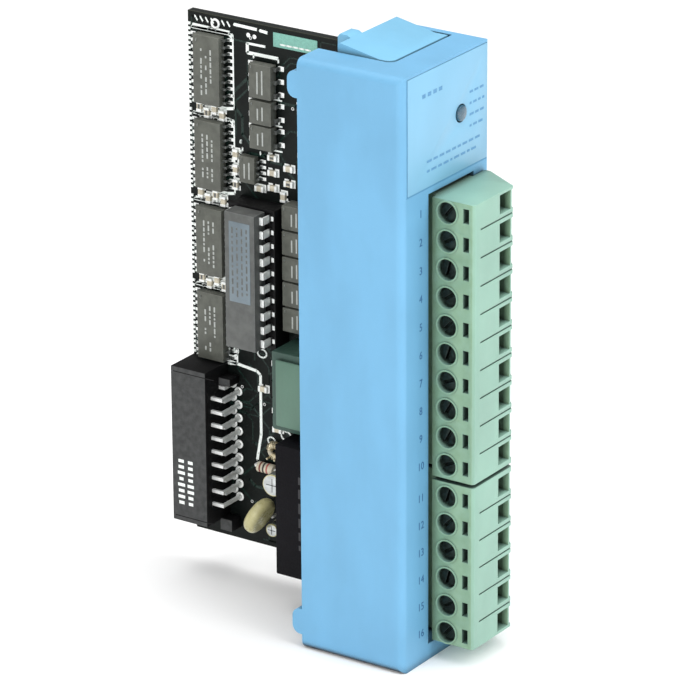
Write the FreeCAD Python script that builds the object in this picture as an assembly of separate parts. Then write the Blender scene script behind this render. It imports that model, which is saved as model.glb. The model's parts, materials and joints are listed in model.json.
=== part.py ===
"""Plug-in terminal module for a programmable controller rack. Millimetres, +Z up, front towards -Y.

The origin is the centre of the housing's base. A narrow housing, open at the back, holds one upright
circuit board. Two pluggable screw terminal blocks slide onto headers on the board, and sprung latches
above and below lock the housing into the rack.
"""
import FreeCAD
import Part
import math
import os

V = FreeCAD.Vector

# Housing
WIDTH = 26.5
DEPTH = 21.0
HEIGHT = 108.0
WALL = 1.6
EDGE_ROUND = 1.4              # the three edges round the left face
EDGE_FINE = 0.4               # the other outer edges
LEFT, RIGHT = -WIDTH / 2, WIDTH / 2
FRONT, BACK = -DEPTH / 2, DEPTH / 2
IN_LEFT, IN_RIGHT = LEFT + WALL, RIGHT - WALL
IN_FRONT = FRONT + WALL
OVER = 5.0                    # how far a window's tool runs past the housing
PAST = 0.1                    # how far a small tool or a joined block overlaps its neighbour
NEAR = 0.01                   # tolerance for finding an edge by its place

# Terminal poles
PITCH = 5.08
UPPER_POLES = 10
LOWER_POLES = 6
TOP_POLE_Z = 82.8
OUTER_END = 2.2               # plug end to its end screw, at the stack's two ends
INNER_END = 2.6               # the same where the two plugs meet
PLUG_GAP = 0.7
LOWER_TOP_POLE_Z = TOP_POLE_Z - (UPPER_POLES - 1) * PITCH - 2 * INNER_END - PLUG_GAP

# Plug: screws face -X, wires enter from -Y, and the tongue plugs in towards +Y
PLUG_LEFT, PLUG_RIGHT = -4.45, 8.05
PLUG_FRONT, PLUG_BACK = -19.1, -9.9
SHOULDER_RIGHT, SHOULDER_FRONT, SHOULDER_BACK = 11.9, -11.9, -10.75
REBATE = 1.3                  # cut back along the plug's left rear edge
TONGUE_LEFT, TONGUE_RIGHT, TONGUE_BACK = 0.55, 7.3, -1.6
SCREW_Y = -13.75
SCREW_HOLE_R = 1.9
SCREW_LEDGE_R = 1.4
SCREW_LEDGE_X = -2.1
POLE_TOP_X, POLE_BOTTOM_X = -1.6, 7.35
POLE_FRONT, POLE_BACK = -17.9, -11.0
POLE_HALF = 1.8
ENTRY_LEFT, ENTRY_RIGHT, ENTRY_HALF = 3.5, 6.9, 1.7
SLOT_Y, SLOT_WIDE, SLOT_HALF, SLOT_DEEP = -17.45, 1.15, 1.3, 3.0
RIM_HIGH, RIM_WIDE = 0.25, 0.28
NOTCH_DEEP, GROOVE_DEEP, GROOVE_HALF = 0.5, 0.25, 0.15
PLUG_CHAMFER = 0.4

# Clamp screw, cage and contact of one pole
HEAD_R, HEAD_LEFT, HEAD_RIGHT = 1.6, -3.9, -2.2
DRIVE_HALF, DRIVE_DEEP = 0.3, 0.9
SHANK_R, SHANK_TIP = 1.15, 2.45
CAGE_LEFT, CAGE_RIGHT = 0.3, 7.1
CAGE_FRONT, CAGE_BACK = -16.3, -11.2
CAGE_HALF = 1.62
CAGE_TOP, CAGE_FLOOR, CAGE_SIDE = 1.2, 0.7, 0.42
CONTACT_X, CONTACT_THICK, CONTACT_HALF = 2.6, 0.8, 1.0
CONTACT_FAR_X = 5.0
FORK_FRONT, FORK_BACK, FORK_WEB = -9.5, -3.0, 0.6
CHANNEL_GAP = 0.15

# Circuit board: components face -X
BOARD_X, BOARD_THICK = 8.35, 1.6
BOARD_FRONT, BOARD_BACK = -7.5, 48.3
BOARD_BOTTOM, BOARD_TOP = 6.2, 104.2
BOARD_SCREW_YZ = ((7.0, 97.0), (7.0, 12.0))
BOSS_R, BOARD_SCREW_R, BOARD_SCREW_HEAD_R, BOARD_SCREW_HEAD, BOARD_SCREW_BITE = 2.4, 0.95, 1.9, 1.3, 2.0
CROSS_LONG, CROSS_HALF, CROSS_DEEP = 1.1, 0.25, 0.6
CLEARANCE = 0.15              # between a shank or a leg and its hole
SOLDER_TAIL = 0.9
TAIL_END = BOARD_X + BOARD_THICK + SOLDER_TAIL

# Headers on the board
HEADER_LEFT, HEADER_FRONT, HEADER_BACK = -0.5, -9.4, 0.9
HEADER_SIDE, HEADER_REAR = 0.8, 1.9
HEADER_END = 0.7
PIN_X, PIN_SIDE, PIN_TIP, PIN_LEG_Y, PIN_HOLE_R = 4.2, 1.0, -7.6, 1.8, 0.8

# Opening in the front for the plugs
MOUTH_LEFT, MOUTH_RIGHT = -5.3, 8.75
MOUTH_BOTTOM, MOUTH_TOP = 3.0, 85.7
CHUTE_BACK, CHUTE_FLOOR_BACK = -1.0, -4.0

# Front panel and its light
PANEL_LEFT, PANEL_RIGHT = LEFT + EDGE_ROUND + PAST, RIGHT - EDGE_FINE - PAST
PANEL_BOTTOM, PANEL_TOP, PANEL_SINK, PANEL_PROUD = 87.0, HEIGHT - EDGE_FINE - PAST, 0.6, 0.15
PANEL_GAP = 0.05
LIGHT_X, LIGHT_Z, LIGHT_R = 4.55, 97.2, 1.4
LIGHT_GAP, COLLAR_WIDE, COLLAR_LONG, PIPE_LONG = 0.2, 0.7, 0.8, 5.0
LED_HALF, LED_FRONT, LED_BACK, BULB_R = 1.7, -4.8, -1.8, 1.3

# Latches. Depths are measured inwards from the housing's top or bottom face.
LATCH_LEFT, LATCH_RIGHT, LATCH_GAP = -6.2, 11.0, 0.55
LATCH_NOSE = 1.1              # from the pivot to the plate's front edge
LATCH_CORNER = 1.5
HOOK_LEFT, HOOK_RIGHT, HOOK_DEEP = -2.9, 0.6, 2.2
LATCH_PIVOT_DEPTH = 2.9
TOP_PIVOT_Y, BOTTOM_PIVOT_Y = -2.7, 2.6
TOP_PLATE_BACK, BOTTOM_PLATE_BACK = 7.0, 8.1
LATCH_PIN_R, LATCH_BORE_R, KNUCKLE_R = 0.6, 0.75, 1.2
LATCH_PIN_LEFT, LATCH_PIN_LONG = -8.7, 20.9
LUG_LEFT, LUG_WIDE, LUG_GAP = -8.9, 1.7, 0.15
KNUCKLE_WIDE, KNUCKLE_XS = 2.0, (-5.9, 5.6)
SPRING_WIRE, SPRING_OUT_R, SPRING_WIDE = 0.3, 1.15, 2.4
SPRING_BACK_ARM, SPRING_FRONT_ARM = 5.0, 3.6

# Rack connector
CONN_LEFT, CONN_FRONT, CONN_BACK = 1.15, 40.8, 48.2
CONN_BOTTOM, CONN_TOP = 10.4, 40.0
CONN_WAYS, CONN_PITCH = 9, 2.54
CONN_FIRST_Z = 14.4
CONN_ROWS = ((3.1, 38.6), (5.64, 39.8))      # (X of the row, Y of its legs)
CONN_FEET = ((8.5, 10.7), (36.5, 37.9))      # where each foot starts and ends in Z
CONN_FOOT_TALL, CONN_FOOT_REACH = 3.0, 2.4
SOCKET_MOUTH, SOCKET_DEEP, CONN_LEG_X, CONN_LEG_Z, LEG_HOLE_R = 0.6, 5.5, 0.25, 0.3, 0.5


def box(x0, x1, y0, y1, z0, z1):
    return Part.makeBox(x1 - x0, y1 - y0, z1 - z0, V(x0, y0, z0))


def rod(radius, start, direction, length):
    return Part.makeCylinder(radius, length, V(*start), V(*direction))


def joined(shapes):
    first, rest = shapes[0], shapes[1:]
    return first.fuse(rest).removeSplitter() if rest else first


def prism_x(points_yz, x0, x1):
    corners = [V(x0, y, z) for y, z in points_yz]
    face = Part.Face(Part.makePolygon(corners + corners[:1]))
    return face.extrude(V(x1 - x0, 0, 0))


def from_top(shape):
    """Turns a shape drawn at the top of the housing into the same one at its bottom."""
    return shape.mirror(V(0, 0, HEIGHT / 2), V(0, 0, 1))


def save(node, shapes):
    solids = shapes if isinstance(shapes, list) else [shapes]
    shape = solids[0] if len(solids) == 1 else Part.makeCompound(solids)
    shape.exportStep("parts/%s.step" % node)
    print("%-26s %2d solid(s) %9.1f mm3 valid %s" % (node, len(shape.Solids), shape.Volume, shape.isValid()))


# ---------------------------------------------------------------- poles

def pole_heights(first, count):
    return [first - i * PITCH for i in range(count)]


UPPER_Z = pole_heights(TOP_POLE_Z, UPPER_POLES)
LOWER_Z = pole_heights(LOWER_TOP_POLE_Z, LOWER_POLES)
UPPER_SPAN = (UPPER_Z[-1] - INNER_END, UPPER_Z[0] + OUTER_END)
LOWER_SPAN = (LOWER_Z[-1] - OUTER_END, LOWER_Z[0] + INNER_END)


# ---------------------------------------------------------------- housing

def rounded_block():
    """The outer block: soft round edges about its left face, and nearly sharp ones elsewhere."""
    block = box(LEFT, RIGHT, FRONT, BACK, 0, HEIGHT)
    left_edges = [e for e in block.Edges if abs(e.CenterOfMass.x - LEFT) < NEAR
                  and e.CenterOfMass.y < BACK - NEAR]
    block = block.makeFillet(EDGE_ROUND, left_edges)
    right_edges = [e for e in block.Edges if abs(e.CenterOfMass.x - RIGHT) < NEAR
                   and e.CenterOfMass.y < BACK - NEAR]
    return block.makeFillet(EDGE_FINE, right_edges)


def right_corner_cut():
    """The slanted corner at the top of the right wall's back edge."""
    slant = 2.0
    past_back, past_top = BACK + PAST, HEIGHT + PAST
    return prism_x([(BACK - slant, past_top), (past_back, past_top), (past_back, HEIGHT - slant)],
                   LATCH_RIGHT, RIGHT + PAST)


def side_tab(x0, middle_z):
    """A rounded ear on a side wall's back edge, which locates the housing in the rack."""
    half, reach, round_r = 2.4, 2.0, 1.6
    ear = box(x0, x0 + WALL, BACK - 1.0, BACK + reach, middle_z - half, middle_z + half)
    outer = [e for e in ear.Edges if abs(e.CenterOfMass.y - BACK - reach) < NEAR
             and abs(e.CenterOfMass.z - middle_z) > half - NEAR]
    return ear.makeFillet(round_r, outer)


def rounded_front_left(block, front, left):
    corner = [e for e in block.Edges if abs(e.CenterOfMass.y - front) < NEAR
              and abs(e.CenterOfMass.x - left) < NEAR]
    return block.makeFillet(LATCH_CORNER, corner)


def latch_window(pivot_y):
    front = pivot_y - LATCH_NOSE - LATCH_GAP
    block = box(LATCH_LEFT - LATCH_GAP, LATCH_RIGHT + LATCH_GAP, front, BACK + OVER,
                HEIGHT - WALL - NEAR, HEIGHT + OVER)
    return rounded_front_left(block, front, LATCH_LEFT - LATCH_GAP)


def latch_lugs(pivot_y):
    """An ear under the top wall and a boss on the right wall, which hold the latch's pin."""
    z = HEIGHT - LATCH_PIVOT_DEPTH
    ear = rod(KNUCKLE_R, (LUG_LEFT, pivot_y, z), (1, 0, 0), LUG_WIDE)
    stem = box(LUG_LEFT, LUG_LEFT + LUG_WIDE, pivot_y - KNUCKLE_R, pivot_y + KNUCKLE_R,
               z, HEIGHT - WALL + PAST)
    boss_left = LATCH_RIGHT + LUG_GAP
    boss = rod(KNUCKLE_R, (boss_left, pivot_y, z), (1, 0, 0), IN_RIGHT + PAST - boss_left)
    return [ear.fuse(stem), boss]


def latch_bore(pivot_y):
    z = HEIGHT - LATCH_PIVOT_DEPTH
    return rod(LATCH_BORE_R, (LUG_LEFT - PAST, pivot_y, z), (1, 0, 0), LATCH_PIN_LONG + 0.5)


def board_boss(y, z):
    foot = BOARD_X + BOARD_THICK
    return rod(BOSS_R, (foot, y, z), (1, 0, 0), IN_RIGHT + PAST - foot)


def housing_shell():
    shell = rounded_block()
    shell = shell.cut(box(IN_LEFT, IN_RIGHT, IN_FRONT, BACK + OVER, WALL, HEIGHT - WALL))
    mouth = box(MOUTH_LEFT, MOUTH_RIGHT, FRONT - OVER, IN_FRONT + PAST, MOUTH_BOTTOM, MOUTH_TOP)
    panel_seat = box(PANEL_LEFT, PANEL_RIGHT, FRONT - OVER, FRONT + PANEL_SINK, PANEL_BOTTOM, PANEL_TOP)
    light_hole = rod(LIGHT_R + LIGHT_GAP, (LIGHT_X, FRONT - 1, LIGHT_Z), (0, 1, 0), WALL + 2)
    shell = shell.cut([mouth, panel_seat, light_hole])
    chute_front, chute_left = IN_FRONT - PAST, MOUTH_LEFT - WALL
    side = box(chute_left, MOUTH_LEFT, chute_front, CHUTE_BACK, WALL - PAST, MOUTH_TOP + WALL)
    roof = box(chute_left, BOARD_X - 0.35, chute_front, CHUTE_BACK, MOUTH_TOP, MOUTH_TOP + WALL)
    floor = box(chute_left, IN_RIGHT + PAST, chute_front, CHUTE_FLOOR_BACK, WALL - PAST, MOUTH_BOTTOM)
    tabs = [side_tab(x0, z) for x0 in (LEFT, IN_RIGHT) for z in (5.0, HEIGHT - 4.6)]
    bosses = [board_boss(y, z) for y, z in BOARD_SCREW_YZ]
    shell = joined([shell, side, roof, floor] + tabs + bosses)
    threads = [rod(BOARD_SCREW_R + CLEARANCE, (BOARD_X + BOARD_THICK - PAST, y, z), (1, 0, 0),
                   BOARD_SCREW_BITE + 0.4) for y, z in BOARD_SCREW_YZ]
    windows = [latch_window(TOP_PIVOT_Y), from_top(latch_window(BOTTOM_PIVOT_Y)), right_corner_cut()]
    shell = shell.cut(windows + threads)
    shell = joined([shell] + latch_lugs(TOP_PIVOT_Y) + [from_top(s) for s in latch_lugs(BOTTOM_PIVOT_Y)])
    return shell.cut([latch_bore(TOP_PIVOT_Y), from_top(latch_bore(BOTTOM_PIVOT_Y))])


def label_panel():
    plate = box(PANEL_LEFT + PANEL_GAP, PANEL_RIGHT - PANEL_GAP, FRONT - PANEL_PROUD, FRONT + PANEL_SINK,
                PANEL_BOTTOM + PANEL_GAP, PANEL_TOP - PANEL_GAP)
    return plate.cut(rod(LIGHT_R + LIGHT_GAP, (LIGHT_X, FRONT - 1, LIGHT_Z), (0, 1, 0), 3))


def status_lens():
    """A light pipe with a collar behind the front wall."""
    pipe = rod(LIGHT_R, (LIGHT_X, FRONT - 0.5, LIGHT_Z), (0, 1, 0), PIPE_LONG)
    collar = rod(LIGHT_R + COLLAR_WIDE, (LIGHT_X, IN_FRONT, LIGHT_Z), (0, 1, 0), COLLAR_LONG)
    return joined([pipe, collar])


def status_led():
    holder = box(LIGHT_X - LED_HALF, BOARD_X, LED_FRONT, LED_BACK, LIGHT_Z - LED_HALF, LIGHT_Z + LED_HALF)
    bulb = rod(BULB_R, (LIGHT_X, LED_FRONT - 0.9, LIGHT_Z), (0, 1, 0), 1.0)
    return joined([holder, bulb])


# ---------------------------------------------------------------- latches

def latch(pivot_y, back, outer, rise, tooth):
    """A rocker plate: its front end turns on a pin, and its back end carries the hook.

    back is where the plate ends, outer its depth below the housing's face, rise how far its back end
    stands above that, and tooth how far the hook's tip stands above the face.
    """
    face, under = HEIGHT - outer, HEIGHT - WALL + 0.05
    pivot_z = HEIGHT - LATCH_PIVOT_DEPTH
    front = pivot_y - LATCH_NOSE
    plate = prism_x([(front, under), (front, face), (front + 2.5, face), (back - 0.5, face + rise),
                     (back, face + rise - 0.3), (back, under)], LATCH_LEFT, LATCH_RIGHT)
    plate = rounded_front_left(plate, front, LATCH_LEFT)
    hook = prism_x([(back - 1.0, under), (back - 1.0, face + rise - 0.4), (back + 0.3, HEIGHT + tooth),
                    (back + HOOK_DEEP - 0.4, HEIGHT + tooth), (back + HOOK_DEEP, HEIGHT + tooth - 0.5),
                    (back + HOOK_DEEP, under)], HOOK_LEFT, HOOK_RIGHT)
    body = [plate, hook]
    for x0 in KNUCKLE_XS:
        body.append(rod(KNUCKLE_R, (x0, pivot_y, pivot_z), (1, 0, 0), KNUCKLE_WIDE))
        body.append(box(x0, x0 + KNUCKLE_WIDE, front, pivot_y + LATCH_NOSE, pivot_z, under + PAST))
    bore = rod(LATCH_BORE_R, (LATCH_LEFT, pivot_y, pivot_z), (1, 0, 0), LATCH_RIGHT - LATCH_LEFT)
    return joined(body).cut(bore)


def latch_pin(pivot_y):
    return rod(LATCH_PIN_R, (LATCH_PIN_LEFT, pivot_y, HEIGHT - LATCH_PIVOT_DEPTH), (1, 0, 0), LATCH_PIN_LONG)


def latch_spring(pivot_y):
    """A torsion spring round the pin: one arm lifts the latch, the other bears on the wall in front."""
    z = HEIGHT - LATCH_PIVOT_DEPTH
    coil = rod(SPRING_OUT_R, (0, pivot_y, z), (1, 0, 0), SPRING_WIDE)
    arm_low = z + SPRING_OUT_R - SPRING_WIRE
    arm_high = z + SPRING_OUT_R
    back_arm = box(0, SPRING_WIRE, pivot_y, pivot_y + SPRING_BACK_ARM, arm_low, arm_high)
    front_arm = box(SPRING_WIDE - SPRING_WIRE, SPRING_WIDE, pivot_y - SPRING_FRONT_ARM, pivot_y,
                    arm_low, arm_high)
    bore = rod(LATCH_BORE_R, (-PAST, pivot_y, z), (1, 0, 0), SPRING_WIDE + 2 * PAST)
    return joined([coil, back_arm, front_arm]).cut(bore)


# ---------------------------------------------------------------- terminal plugs

def plug_pole_tools(z):
    """Everything that is cut out of the plug for one pole."""
    past = PLUG_LEFT - RIM_HIGH - PAST
    hole = rod(SCREW_HOLE_R, (past, SCREW_Y, z), (1, 0, 0), SCREW_LEDGE_X - past)
    ledge = rod(SCREW_LEDGE_R, (SCREW_LEDGE_X - PAST, SCREW_Y, z), (1, 0, 0), 1.0)
    chamber = box(POLE_TOP_X, POLE_BOTTOM_X, POLE_FRONT, POLE_BACK, z - POLE_HALF, z + POLE_HALF)
    entry = box(ENTRY_LEFT, ENTRY_RIGHT, PLUG_FRONT - PAST, POLE_FRONT + PAST, z - ENTRY_HALF, z + ENTRY_HALF)
    slot = box(PLUG_LEFT - PAST, PLUG_LEFT + SLOT_DEEP, SLOT_Y - SLOT_WIDE / 2, SLOT_Y + SLOT_WIDE / 2,
               z - SLOT_HALF, z + SLOT_HALF)
    channel = box(CONTACT_X - CHANNEL_GAP, CONTACT_FAR_X + CONTACT_THICK + CHANNEL_GAP, POLE_BACK - PAST,
                  TONGUE_BACK + PAST, z - CONTACT_HALF - CHANNEL_GAP, z + CONTACT_HALF + CHANNEL_GAP)
    notch = box(ENTRY_RIGHT + 0.35, PLUG_RIGHT + PAST, PLUG_FRONT - PAST, PLUG_FRONT + NOTCH_DEEP,
                z - ENTRY_HALF, z + ENTRY_HALF)
    return [hole, ledge, chamber, entry, slot, channel, notch]


def plug_shoulder(z0, z1):
    """The slanted right side, which widens the plug where it meets the housing's front."""
    root, start = PLUG_RIGHT - 0.5, PLUG_FRONT + 0.6
    outline = [(root, start), (PLUG_RIGHT, start), (SHOULDER_RIGHT, SHOULDER_FRONT),
               (SHOULDER_RIGHT, SHOULDER_BACK), (root, SHOULDER_BACK)]
    corners = [V(x, y, z0) for x, y in outline]
    return Part.Face(Part.makePolygon(corners + corners[:1])).extrude(V(0, 0, z1 - z0))


def plug_body(heights, span):
    z0, z1 = span
    block = box(PLUG_LEFT, PLUG_RIGHT, PLUG_FRONT, PLUG_BACK, z0, z1)
    front_edges = [e for e in block.Edges if abs(e.CenterOfMass.y - PLUG_FRONT) < NEAR
                   and abs(e.CenterOfMass.z - (z0 + z1) / 2) < NEAR]
    block = block.makeChamfer(PLUG_CHAMFER, front_edges)
    inset = HEADER_END + 0.2
    tongue = box(TONGUE_LEFT, TONGUE_RIGHT, PLUG_BACK - PAST, TONGUE_BACK, z0 + inset, z1 - inset)
    rims = [rod(SCREW_HOLE_R + RIM_WIDE, (PLUG_LEFT - RIM_HIGH, SCREW_Y, z), (1, 0, 0), 1.0)
            for z in heights]
    body = joined([block, tongue, plug_shoulder(z0, z1)] + rims)
    tools = [box(PLUG_LEFT - PAST, PLUG_LEFT + REBATE, SHOULDER_BACK, PLUG_BACK + PAST, z0 - PAST, z1 + PAST)]
    for z in heights:
        tools += plug_pole_tools(z)
    for z in heights[1:]:
        middle = z + PITCH / 2
        groove = box(PLUG_LEFT + 2.0, PLUG_RIGHT + PAST, PLUG_FRONT - PAST, PLUG_FRONT + GROOVE_DEEP,
                     middle - GROOVE_HALF, middle + GROOVE_HALF)
        tools.append(groove)
    return body.cut(tools)


def plug_contact(z):
    """A flat bar for the clamp, which ends in a fork round the header's pin."""
    low, high = z - CONTACT_HALF, z + CONTACT_HALF
    far = CONTACT_FAR_X + CONTACT_THICK
    bar = box(CONTACT_X, CONTACT_X + CONTACT_THICK, POLE_FRONT + 0.7, FORK_BACK, low, high)
    web = box(CONTACT_X, far, FORK_FRONT, FORK_FRONT + FORK_WEB, low, high)
    leaf = box(CONTACT_FAR_X, far, FORK_FRONT, FORK_BACK, low, high)
    return joined([bar, web, leaf])


def terminal_screw(z, turn):
    head = rod(HEAD_R, (HEAD_LEFT, SCREW_Y, z), (1, 0, 0), HEAD_RIGHT - HEAD_LEFT)
    shank = rod(SHANK_R, (HEAD_RIGHT - PAST, SCREW_Y, z), (1, 0, 0), SHANK_TIP - HEAD_RIGHT + PAST)
    slot = box(HEAD_LEFT - PAST, HEAD_LEFT + DRIVE_DEEP, SCREW_Y - DRIVE_HALF, SCREW_Y + DRIVE_HALF,
               z - HEAD_R - PAST, z + HEAD_R + PAST)
    slot.rotate(V(0, SCREW_Y, z), V(1, 0, 0), turn)
    return joined([head, shank]).cut(slot)


def wire_clamp(z):
    """A rising cage: the screw's thread is in its top, and the contact bar passes through it."""
    cage = box(CAGE_LEFT, CAGE_RIGHT, CAGE_FRONT, CAGE_BACK, z - CAGE_HALF, z + CAGE_HALF)
    inner = CAGE_HALF - CAGE_SIDE
    window = box(CAGE_LEFT + CAGE_TOP, CAGE_RIGHT - CAGE_FLOOR, CAGE_FRONT - PAST, CAGE_BACK + PAST,
                 z - inner, z + inner)
    thread = rod(SHANK_R + CLEARANCE, (CAGE_LEFT - PAST, SCREW_Y, z), (1, 0, 0), CAGE_TOP + 2 * PAST)
    return cage.cut([window, thread])


# ---------------------------------------------------------------- board and headers

def drilled_board():
    board = box(BOARD_X, BOARD_X + BOARD_THICK, BOARD_FRONT, BOARD_BACK, BOARD_BOTTOM, BOARD_TOP)
    start = BOARD_X - PAST
    deep = BOARD_THICK + 2 * PAST
    holes = [rod(BOARD_SCREW_R + 0.25, (start, y, z), (1, 0, 0), deep) for y, z in BOARD_SCREW_YZ]
    holes += [rod(PIN_HOLE_R, (start, PIN_LEG_Y, z), (1, 0, 0), deep) for z in UPPER_Z + LOWER_Z]
    for i, (row_x, leg_y) in enumerate(CONN_ROWS):
        holes += [rod(LEG_HOLE_R, (start, leg_y, z), (1, 0, 0), deep) for z in connector_heights(i)]
    return board.cut(holes)


def board_screw(y, z):
    top = BOARD_X - BOARD_SCREW_HEAD
    head = rod(BOARD_SCREW_HEAD_R, (top, y, z), (1, 0, 0), BOARD_SCREW_HEAD)
    shank = rod(BOARD_SCREW_R, (BOARD_X - PAST, y, z), (1, 0, 0), BOARD_THICK + BOARD_SCREW_BITE + PAST)
    cross = [box(top - PAST, top + CROSS_DEEP, y - half_y, y + half_y, z - half_z, z + half_z)
             for half_y, half_z in ((CROSS_LONG, CROSS_HALF), (CROSS_HALF, CROSS_LONG))]
    return joined([head, shank]).cut(cross)


def terminal_header(heights, span):
    z0, z1 = span
    body = box(HEADER_LEFT, BOARD_X, HEADER_FRONT, HEADER_BACK, z0, z1)
    bay = box(HEADER_LEFT + HEADER_SIDE, BOARD_X - HEADER_SIDE,
              HEADER_FRONT - PAST, HEADER_BACK - HEADER_REAR,
              z0 + HEADER_END, z1 - HEADER_END)
    half = PIN_SIDE / 2
    pins = [box(PIN_X - half, PIN_X + half, HEADER_FRONT, HEADER_BACK + PAST, z - half, z + half)
            for z in heights]
    return body.cut([bay] + pins)


def header_pin(z):
    half = PIN_SIDE / 2
    reach = box(PIN_X - half, PIN_X + half, PIN_TIP, PIN_LEG_Y + half, z - half, z + half)
    leg = box(PIN_X, TAIL_END, PIN_LEG_Y - half, PIN_LEG_Y + half, z - half, z + half)
    return joined([reach, leg])


# ---------------------------------------------------------------- rack connector

def connector_heights(row):
    shift = CONN_PITCH / 2 if row else 0.0
    return [CONN_FIRST_Z + shift + i * CONN_PITCH for i in range(CONN_WAYS)]


def rack_connector():
    """A right-angled socket. Its sockets open backwards, and its legs leave through its front face."""
    body = box(CONN_LEFT, BOARD_X, CONN_FRONT, CONN_BACK, CONN_BOTTOM, CONN_TOP)
    feet = [box(BOARD_X - CONN_FOOT_TALL, BOARD_X, CONN_FRONT - CONN_FOOT_REACH, CONN_FRONT + PAST, z0, z1)
            for z0, z1 in CONN_FEET]
    floor, half = CONN_BACK - SOCKET_DEEP, SOCKET_MOUTH
    tools = []
    for i, (x, leg_y) in enumerate(CONN_ROWS):
        for z in connector_heights(i):
            tools.append(box(x - half, x + half, floor, CONN_BACK + PAST, z - half, z + half))
            tools.append(box(x - CONN_LEG_X, x + CONN_LEG_X, CONN_FRONT - PAST, floor + PAST,
                             z - CONN_LEG_Z, z + CONN_LEG_Z))
    return joined([body] + feet).cut(tools)


def connector_leg(x, leg_y, z):
    thin, low, high = CONN_LEG_X, z - CONN_LEG_Z, z + CONN_LEG_Z
    reach = box(x - thin, x + thin, leg_y - thin, CONN_BACK - SOCKET_DEEP, low, high)
    drop = box(x, TAIL_END, leg_y - thin, leg_y + thin, low, high)
    return joined([reach, drop])


# ---------------------------------------------------------------- components on the board

CHIP_HALF_Y, CHIP_HALF_Z, CHIP_TALL, CHIP_LEG_PITCH, CHIP_WAYS = 2.75, 6.3, 2.0, 1.27, 10
CHIP_Y = 43.2
CHIP_Z = (94.5, 78.8, 62.7, 46.7)
SMALL_CHIP = (35.1, 77.6, 1.6, 2.45, 1.6, 4)      # Y, Z, half width, half height, height, legs a side
DIP_Y, DIP_Z, DIP_WAYS, DIP_ROW = 32.4, 59.3, 10, 3.81
DIP_HALF_Y, DIP_HALF_Z, DIP_LEG, DIP_LEG_HALF = 3.1, 12.6, 0.13, 0.65
SOCKET_HALF_Y, SOCKET_HALF_Z, SOCKET_TALL = 4.9, 12.9, 4.2
ISOLATOR_Y, ISOLATOR_HALF_Y, ISOLATOR_TALL = 31.8, 2.3, 2.1
ISOLATORS = ((94.5, 3.1, 3), (88.8, 2.15, 2), (84.2, 2.15, 2))        # Z, half height, legs a side
STACK_Y, STACK_HALF_Y, STACK_TALL = 23.9, 2.6, 3.5
STACK_TOP, STACK_PITCH, STACK_COUNT = 71.2, 4.75, 5
POWER_CONVERTER = (16.9, 20.0, 5.7, 12.4, 12.0, 0.6)   # Y, Z, half width, half height, height, foot
TRANSFORMER = (20.0, 41.0, 5.2, 7.4, 9.0, 9.8)         # Y, Z, half width, half height, core, bobbin
DISC_CAPACITOR = (31.35, 13.95, 3.5, 2.4, 4.4, -64.0)  # Y, Z, radius, thickness, height, lean in degrees
CAN_CAPACITORS = ((27.4, 21.2, 2.0, 6.0), (29.7, 10.9, 1.2, 3.0))   # Y, Z, radius, height
AXIAL_RESISTOR = (31.8, 21.9, 0.95, 3.4)               # Y, Z, radius, length
RING_CHOKE = (30.2, 25.4, 1.15, 0.45)                  # Y, Z, radius, radius of its section
SMALL_LONG, SMALL_WIDE, SMALL_TALL = 0.9, 0.5, 0.7     # half length, half width, height
CHIP_GAP_Z = (86.2, 70.3, 54.3)                        # the three gaps between the large chips
GAP_BLOCKS, GAP_FIRST_Y, GAP_STEP, GAP_STAGGER = 4, 41.0, 1.6, 0.9
UPRIGHT_SPOTS = ((38.25, 74.0), (38.25, 76.8), (38.25, 79.6), (28.2, 73.6))
LEVEL_SPOTS = ((33.2, 74.2), (30.4, 74.8), (30.4, 77.6), (30.4, 80.4), (24.0, 79.0), (24.0, 82.0),
               (24.0, 86.0), (24.0, 90.0), (27.0, 76.2), (27.0, 79.0), (30.0, 29.4), (30.0, 33.0),
               (30.0, 42.0), (33.0, 36.5))


def on_board(y, z, half_y, half_z, low, high):
    """A box standing between two heights above the board."""
    return box(BOARD_X - high, BOARD_X - low, y - half_y, y + half_y, z - half_z, z + half_z)


def gull_legs(y, z, half_y, ways, pitch, high, reach, half_leg=0.2):
    """The legs on both sides of a surface-mounted package: a shoulder, a drop and a foot."""
    legs = []
    for side in (-1, 1):
        root = y + side * half_y
        for i in range(ways):
            zi = z + (i - (ways - 1) / 2) * pitch
            middle = high / 2
            outline = [(root, middle + 0.12), (root + side * reach * 0.6, middle + 0.12),
                       (root + side * reach * 0.6, 0.25), (root + side * reach, 0.25),
                       (root + side * reach, 0.0), (root + side * reach * 0.35, 0.0),
                       (root + side * reach * 0.35, middle - 0.12), (root, middle - 0.12)]
            corners = [V(BOARD_X - h, yy, zi - half_leg) for yy, h in outline]
            face = Part.Face(Part.makePolygon(corners + corners[:1]))
            legs.append(face.extrude(V(0, 0, 2 * half_leg)))
    return legs


def isolator_places():
    """Y, Z, half width, half height, height and legs a side of every isolator."""
    places = [(ISOLATOR_Y, z, ISOLATOR_HALF_Y, half_z, ISOLATOR_TALL, ways) for z, half_z, ways in ISOLATORS]
    for i in range(STACK_COUNT):
        places.append((STACK_Y, STACK_TOP - i * STACK_PITCH, STACK_HALF_Y, 2.2, STACK_TALL, 2))
    return places


def surface_chips():
    chips = [on_board(CHIP_Y, z, CHIP_HALF_Y, CHIP_HALF_Z, 0.2, CHIP_TALL) for z in CHIP_Z]
    y, z, half_y, half_z, tall, ways = SMALL_CHIP
    chips.append(on_board(y, z, half_y, half_z, 0.15, tall))
    return chips


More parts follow.
